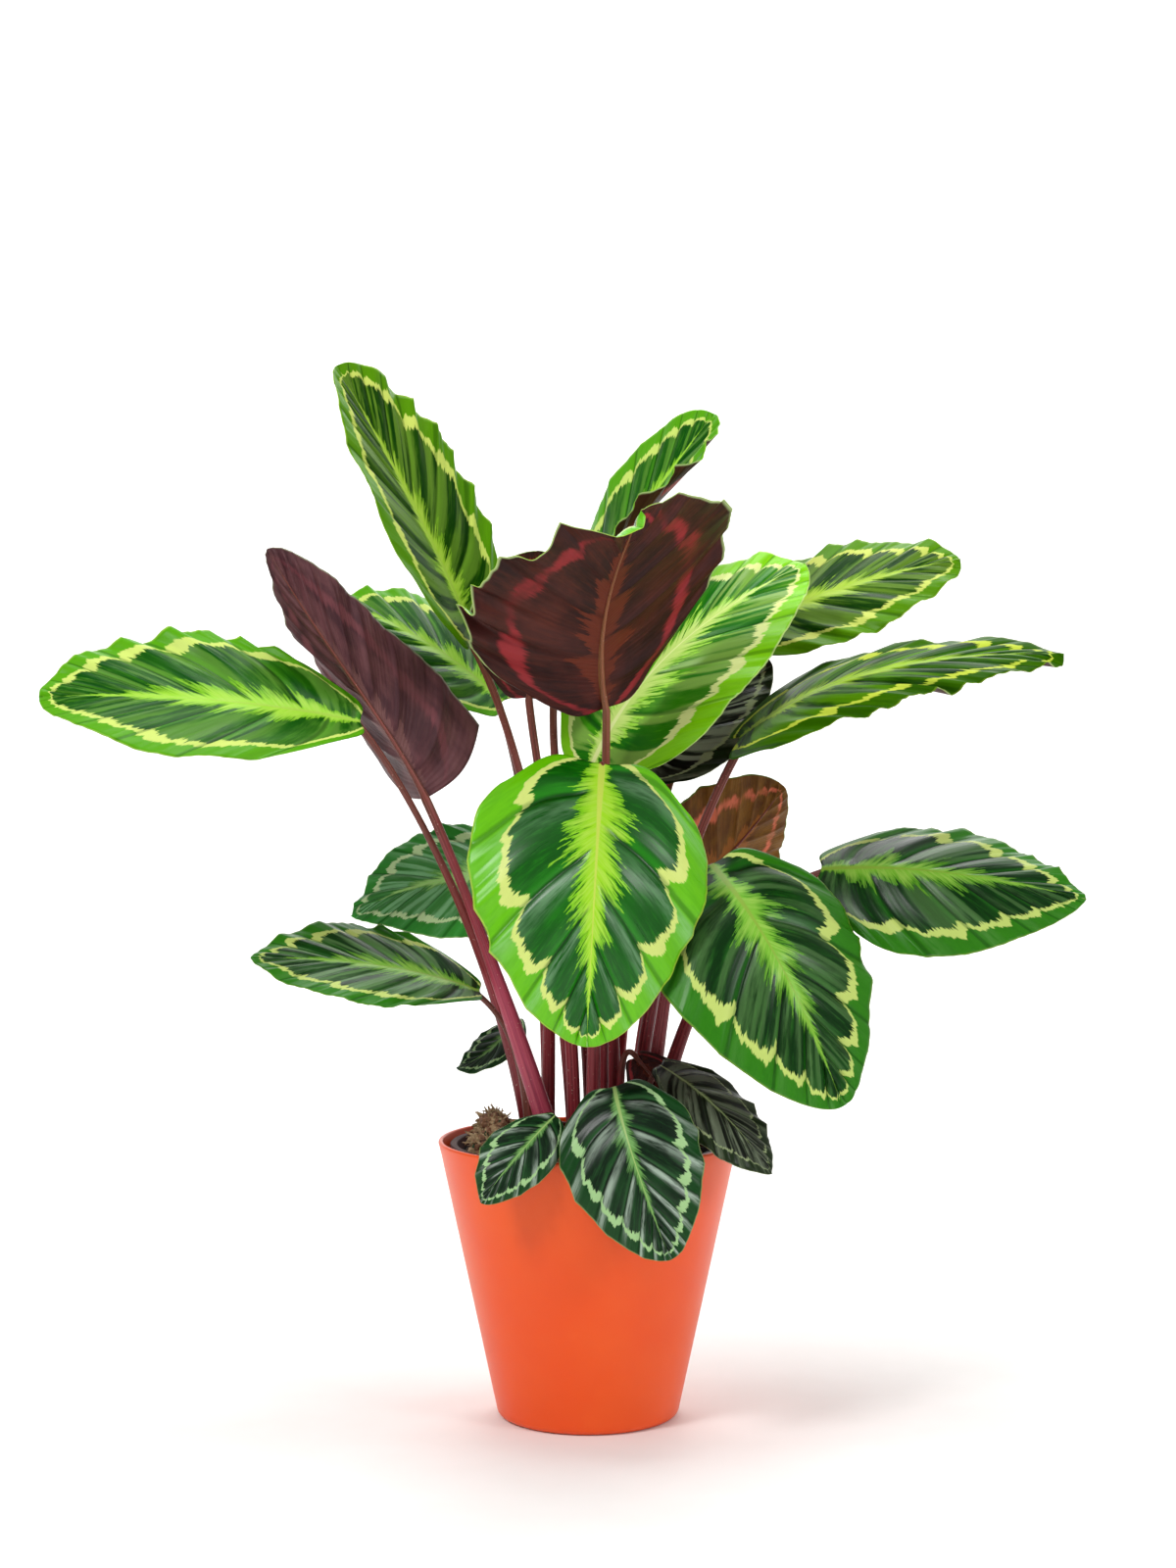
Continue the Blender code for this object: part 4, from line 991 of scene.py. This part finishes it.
def plasticMaterial(name, colour, worn, roughness, specular, lip=None):
    material, s, shader = newMaterial(name, specular=specular)
    made = useGroup(s, plastic)
    made.inputs["Color"].default_value, made.inputs["Worn Color"].default_value = colour, worn
    made.inputs["Roughness"].default_value = roughness
    painted = made.outputs["Color"]
    if lip:
        place = s.tree.nodes.new("ShaderNodeTexCoord").outputs["Object"]
        split = s.tree.nodes.new("ShaderNodeSeparateXYZ")
        s.tree.links.new(place, split.inputs[0])
        painted = s.mix(s.step(split.outputs[2], lip[0] * mm, lip[0] * mm + 0.0006), painted, lip[1])
    s.put(shader.inputs["Base Color"], painted)
    s.put(shader.inputs["Roughness"], made.outputs["Roughness"])
    bump(s, shader, made.outputs["Height"], 0.00005)
    return material


def potRadius(height):
    return pot["baseRadius"] + (pot["topRadius"] - pot["baseRadius"]) * height / pot["height"]


def coverPot():
    foot, bead = pot["footRound"], pot["bead"]
    profile = [(0.0, 0.0), (20.0, 0.0), (40.0, 0.0)]
    profile += arc((pot["baseRadius"] + 1.0 - foot, foot), foot, -90, -10, 10)
    profile += [(potRadius(h) + 0.05, h) for h in range(14, 160, 12)]
    profile += arc((pot["topRadius"] - bead, pot["height"] - bead), bead, -10, 180, 14)
    insideTop = pot["height"] - 2 * bead
    profile += [(potRadius(insideTop) - pot["wall"], insideTop)]
    profile += [(potRadius(h) - pot["wall"], h) for h in range(150, 10, -20)]
    profile += [(potRadius(pot["floor"]) - pot["wall"], pot["floor"]), (0.0, pot["floor"])]
    outer = plasticMaterial("potOrange", paint(238, 80, 8), paint(244, 102, 28), 0.38, 0.4)
    addPiece("coverPot", turnedMesh("coverPot", profile, pot["sides"]), [outer], ("cover_pot",))


def nurseryRadius(height):
    low = pot["floor"] + nursery["seatGap"]
    share = (height - low) / (nursery["height"] - low)
    return nursery["baseRadius"] + (nursery["topRadius"] - nursery["baseRadius"]) * share


def nurseryPot():
    low, high, lip, wall = pot["floor"] + nursery["seatGap"], nursery["height"], nursery["lip"], nursery["wall"]
    lipLow = high - 2 * lip
    profile = [(0.0, low), (nurseryRadius(low) - 1, low), (nurseryRadius(low), low + 1)]
    profile += [(nurseryRadius(lipLow), lipLow), (nurseryRadius(lipLow) + lip, lipLow)]
    profile += [(nurseryRadius(high) + lip, high - 0.6), (nurseryRadius(high) + lip - 0.6, high)]
    profile += [(nurseryRadius(high) - wall + 0.4, high), (nurseryRadius(high - 0.5) - wall, high - 0.5)]
    profile += [(nurseryRadius(low + wall) - wall, low + wall), (0.0, low + wall)]
    # painted shade: the lip above 157.5 mm is given the dark red of the cover pot's shaded inner wall
    black = plasticMaterial("nurseryPlastic", paint(22, 18, 18), paint(40, 32, 30), 0.6, 0.1,
                            lip=(157.5, paint(60, 16, 8)))
    addPiece("nurseryPot", turnedMesh("nurseryPot", profile, nursery["sides"], 30), [black],
             ("nursery_pot",))


coverPot()
nurseryPot()
print("pots turned")


# Growing mix
mix = {"edge": 152.0, "crown": 160.0, "heap": 28.0}


def mixHeight(x, y):
    away = math.hypot(x, y) / (nursery["topRadius"] - nursery["wall"])
    level = mix["crown"] + (mix["edge"] - mix["crown"]) * away**2
    heap = math.exp(-(((x + 57) / 14) ** 2 + ((y + 15) / 20) ** 2))
    lumps = 1.2 * math.sin(0.21 * x + 1.3) * math.sin(0.17 * y + 0.4)
    return level + mix["heap"] * heap + lumps * min(1.0, away * 2)


def peatMaterial():
    material, s, shader = newMaterial("peat", roughness=0.95)
    place = s.tree.nodes.new("ShaderNodeTexCoord").outputs["Object"]
    coarse = s.noise(place, 160.0, 6.0, 0.7)
    fine = s.noise(place, 900.0, 3.0, 0.7)
    colour = s.ramp(coarse, [(0.25, paint(28, 18, 12)), (0.5, paint(62, 42, 28)), (0.75, paint(110, 80, 52))])
    colour = s.mix(s.math("MULTIPLY", s.step(fine, 0.6, 0.75), 0.5), colour, paint(150, 118, 82))
    s.put(shader.inputs["Base Color"], colour)
    s.put(shader.inputs["Roughness"], s.math("MULTIPLY_ADD", fine, 0.15, 0.82))
    bump(s, shader, s.math("ADD", coarse, fine), 0.0015)
    return material


def growingMix():
    low = pot["floor"] + nursery["seatGap"] * 2 + nursery["wall"]
    top = nurseryRadius(mix["edge"]) - nursery["wall"] - 0.6
    foot = nurseryRadius(low) - nursery["wall"] - 0.6
    rings, sides = 44, 120
    points, faces = [(0, 0, mixHeight(0, 0))], []
    for i in range(1, rings + 1):
        for k in range(sides):
            angle = 2 * math.pi * k / sides
            x, y = top * i / rings * math.cos(angle), top * i / rings * math.sin(angle)
            rough = 1.6 * noise.noise(Vector((x, y, 3.0)) * 0.12) + 0.9 * noise.noise(Vector((x, y, 9.0)) * 0.45)
            points.append((x, y, mixHeight(x, y) + rough * (1.0 if i < rings - 1 else 0.2)))
    for k in range(sides):
        n = (k + 1) % sides
        faces.append((0, 1 + k, 1 + n))
        for i in range(rings - 1):
            a = 1 + i * sides
            faces.append((a + k, a + sides + k, a + sides + n, a + n))
    base = len(points)
    for k in range(sides):
        angle = 2 * math.pi * k / sides
        points.append((foot * math.cos(angle), foot * math.sin(angle), low))
    last = 1 + (rings - 1) * sides
    for k in range(sides):
        n = (k + 1) % sides
        faces.append((base + k, base + n, last + n, last + k))
    faces.append(tuple(base + k for k in range(sides))[::-1])
    mesh = bpy.data.meshes.new("growingMix")
    mesh.from_pydata([(x * mm, y * mm, z * mm) for x, y, z in points], [], faces)
    mesh.shade_smooth()
    addPiece("growingMix", mesh, [peatMaterial()], ("soil",))


def barkMaterial(name, dark, mid, light):
    material, s, shader = newMaterial(name, roughness=0.8)
    place = s.tree.nodes.new("ShaderNodeTexCoord").outputs["Object"]
    stretched = s.tree.nodes.new("ShaderNodeMapping")
    stretched.inputs["Scale"].default_value = (1.0, 3.0, 2.0)
    s.tree.links.new(place, stretched.inputs[0])
    grain = s.noise(stretched.outputs[0], 260.0, 5.0, 0.7)
    tone = s.noise(place, 60.0, 1.0)
    colour = s.ramp(grain, [(0.3, dark), (0.5, mid), (0.72, light)])
    colour = s.mix(s.math("MULTIPLY", s.step(tone, 0.45, 0.6), 0.5), colour, mid)
    s.put(shader.inputs["Base Color"], colour)
    s.put(shader.inputs["Roughness"], s.math("MULTIPLY_ADD", grain, 0.2, 0.68))
    bump(s, shader, grain, 0.0008)
    return material


def scatter(name, count, seed, size, material, where, flatness=0.4, length=1.0):
    # Irregular chips, each a squashed and knocked about icosahedron; length draws them out to fibres
    rng = np.random.default_rng(seed)
    joined = bmesh.new()
    for _ in range(count):
        x, y = where(rng)
        big = rng.uniform(*size)
        spread = np.array([rng.uniform(0.7, 1.3) * length, rng.uniform(0.45, 0.8) / length,
                           rng.uniform(flatness * 0.6, flatness * 1.4)])
        turn = rng.uniform(0, 2 * math.pi)
        tilt = rng.uniform(-0.5, 0.5) * (1.0 if length == 1.0 else 2.4)
        made = bmesh.ops.create_icosphere(joined, subdivisions=1, radius=1.0)
        knock = rng.uniform(0.7, 1.2, len(made["verts"]))
        for vertex, k in zip(made["verts"], knock):
            px, py, pz = np.array(vertex.co) * spread * big * k
            pz, px = pz * math.cos(tilt) + px * math.sin(tilt), px * math.cos(tilt) - pz * math.sin(tilt)
            vx, vy = px * math.cos(turn) - py * math.sin(turn), px * math.sin(turn) + py * math.cos(turn)
            vertex.co = ((x + vx) * mm, (y + vy) * mm, (mixHeight(x, y) + 0.3 * big * flatness + pz) * mm)
    mesh = bpy.data.meshes.new(name)
    joined.to_mesh(mesh)
    joined.free()
    addPiece(name, mesh, [material], ())


def anywhere(rng):
    reach = 70.0 * math.sqrt(rng.uniform(0, 1))
    turn = rng.uniform(0, 2 * math.pi)
    return reach * math.cos(turn), reach * math.sin(turn)


def onHeap(rng):
    return max(-68.0, -56 + rng.normal(0, 9.5)), -15 + rng.normal(0, 10.0)


growingMix()
brownBark = barkMaterial("brownBark", paint(66, 44, 30), paint(122, 86, 60), paint(172, 136, 100))
paleBark = barkMaterial("paleBark", paint(112, 90, 62), paint(160, 134, 98), paint(206, 184, 148))
moss = barkMaterial("moss", paint(16, 36, 20), paint(40, 72, 38), paint(84, 116, 66))
scatter("barkChips", 260, 11, (2.2, 5.2), brownBark, anywhere)
scatter("paleChips", 120, 12, (1.6, 4.0), paleBark, anywhere)
scatter("heapBark", 150, 13, (2.0, 5.0), brownBark, onHeap, 0.6)
scatter("heapPale", 160, 15, (1.4, 4.2), paleBark, onHeap, 0.6)
scatter("heapFibres", 220, 16, (2.0, 3.6), paleBark, onHeap, 0.3, 2.6)
scatter("heapMoss", 80, 14, (1.2, 2.8), moss, onHeap, 0.9)
print("growing mix laid")


# Studio
studio = {"eye": (0.0, -1.610, 0.4206), "tilt": 88.54, "lens": 61.6, "floor": 6.0, "sweep": 0.9}


def backdropMaterial():
    material, s, shader = newMaterial("studioPaper", roughness=0.9, specular=0.1)
    place = s.tree.nodes.new("ShaderNodeTexCoord").outputs["Object"]
    grain = s.noise(place, 30.0, 3.0)
    s.put(shader.inputs["Base Color"], s.mix(grain, paint(246, 246, 244), paint(250, 250, 249)))
    return material


def buildStudio():
    half = studio["floor"]
    mesh = bpy.data.meshes.new("studioFloor")
    steps = [(-half, 0.0), (2.2, 0.0)]
    steps += [(2.2 + studio["sweep"] * math.sin(math.radians(a)), studio["sweep"] * (1 - math.cos(math.radians(a))))
              for a in range(5, 91, 5)]
    steps += [(2.2 + studio["sweep"], 5.0)]
    points = [(x, y, z - 0.0002) for y, z in steps for x in (-half, half)]
    faces = [(2 * k, 2 * k + 1, 2 * k + 3, 2 * k + 2) for k in range(len(steps) - 1)]
    mesh.from_pydata(points, [], faces)
    mesh.shade_smooth()
    floor = bpy.data.objects.new("studioFloor", mesh)
    scene.collection.objects.link(floor)
    mesh.materials.append(backdropMaterial())
    ground = bpy.data.meshes.new("studioGround")
    ground.from_pydata([(x, y, -0.001) for x, y in ((-30, -30), (30, -30), (30, 30), (-30, 30))], [], [(0, 1, 2, 3)])
    beyond = bpy.data.objects.new("studioGround", ground)
    scene.collection.objects.link(beyond)
    ground.materials.append(mesh.materials[0])
    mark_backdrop(floor, beyond)
    for name, place, size, power in (
        ("keyLight", (-1.1, -1.3, 1.7), 0.6, 20.0),
        ("fillLight", (1.6, -1.3, 1.2), 0.5, 11.0),
        ("topLight", (0.1, 0.0, 1.9), 0.8, 13.0),
        ("backLight", (0.5, 1.3, 1.5), 0.9, 3.5),
        ("backdropLight", (0.0, 1.6, 2.4), 1.6, 60.0),
    ):
        light = bpy.data.lights.new(name, "AREA")
        light.shape, light.size, light.energy = "DISK", size, power
        lamp = bpy.data.objects.new(name, light)
        scene.collection.objects.link(lamp)
        lamp.location = place
        aim = Vector((0, 3.4, 0.6)) if name == "backdropLight" else Vector((0, 0, 0.32))
        lamp.rotation_euler = (aim - Vector(place)).to_track_quat("-Z", "Y").to_euler()
    world = bpy.data.worlds.new("studioWorld")
    scene.world = world
    world.use_nodes = True
    world.node_tree.nodes["Background"].inputs["Color"].default_value = (1.0, 0.99, 0.97, 1.0)
    world.node_tree.nodes["Background"].inputs["Strength"].default_value = 0.42
    camera = bpy.data.objects.new("camera", bpy.data.cameras.new("camera"))
    scene.collection.objects.link(camera)
    camera.location = studio["eye"]
    camera.rotation_euler = (math.radians(studio["tilt"]), 0, 0)
    camera.data.sensor_width, camera.data.lens = 36.0, studio["lens"]
    camera.data.clip_start, camera.data.clip_end = 0.05, 50
    scene.camera = camera


buildStudio()
scene.view_settings.view_transform = "Standard"
print("scene ready")
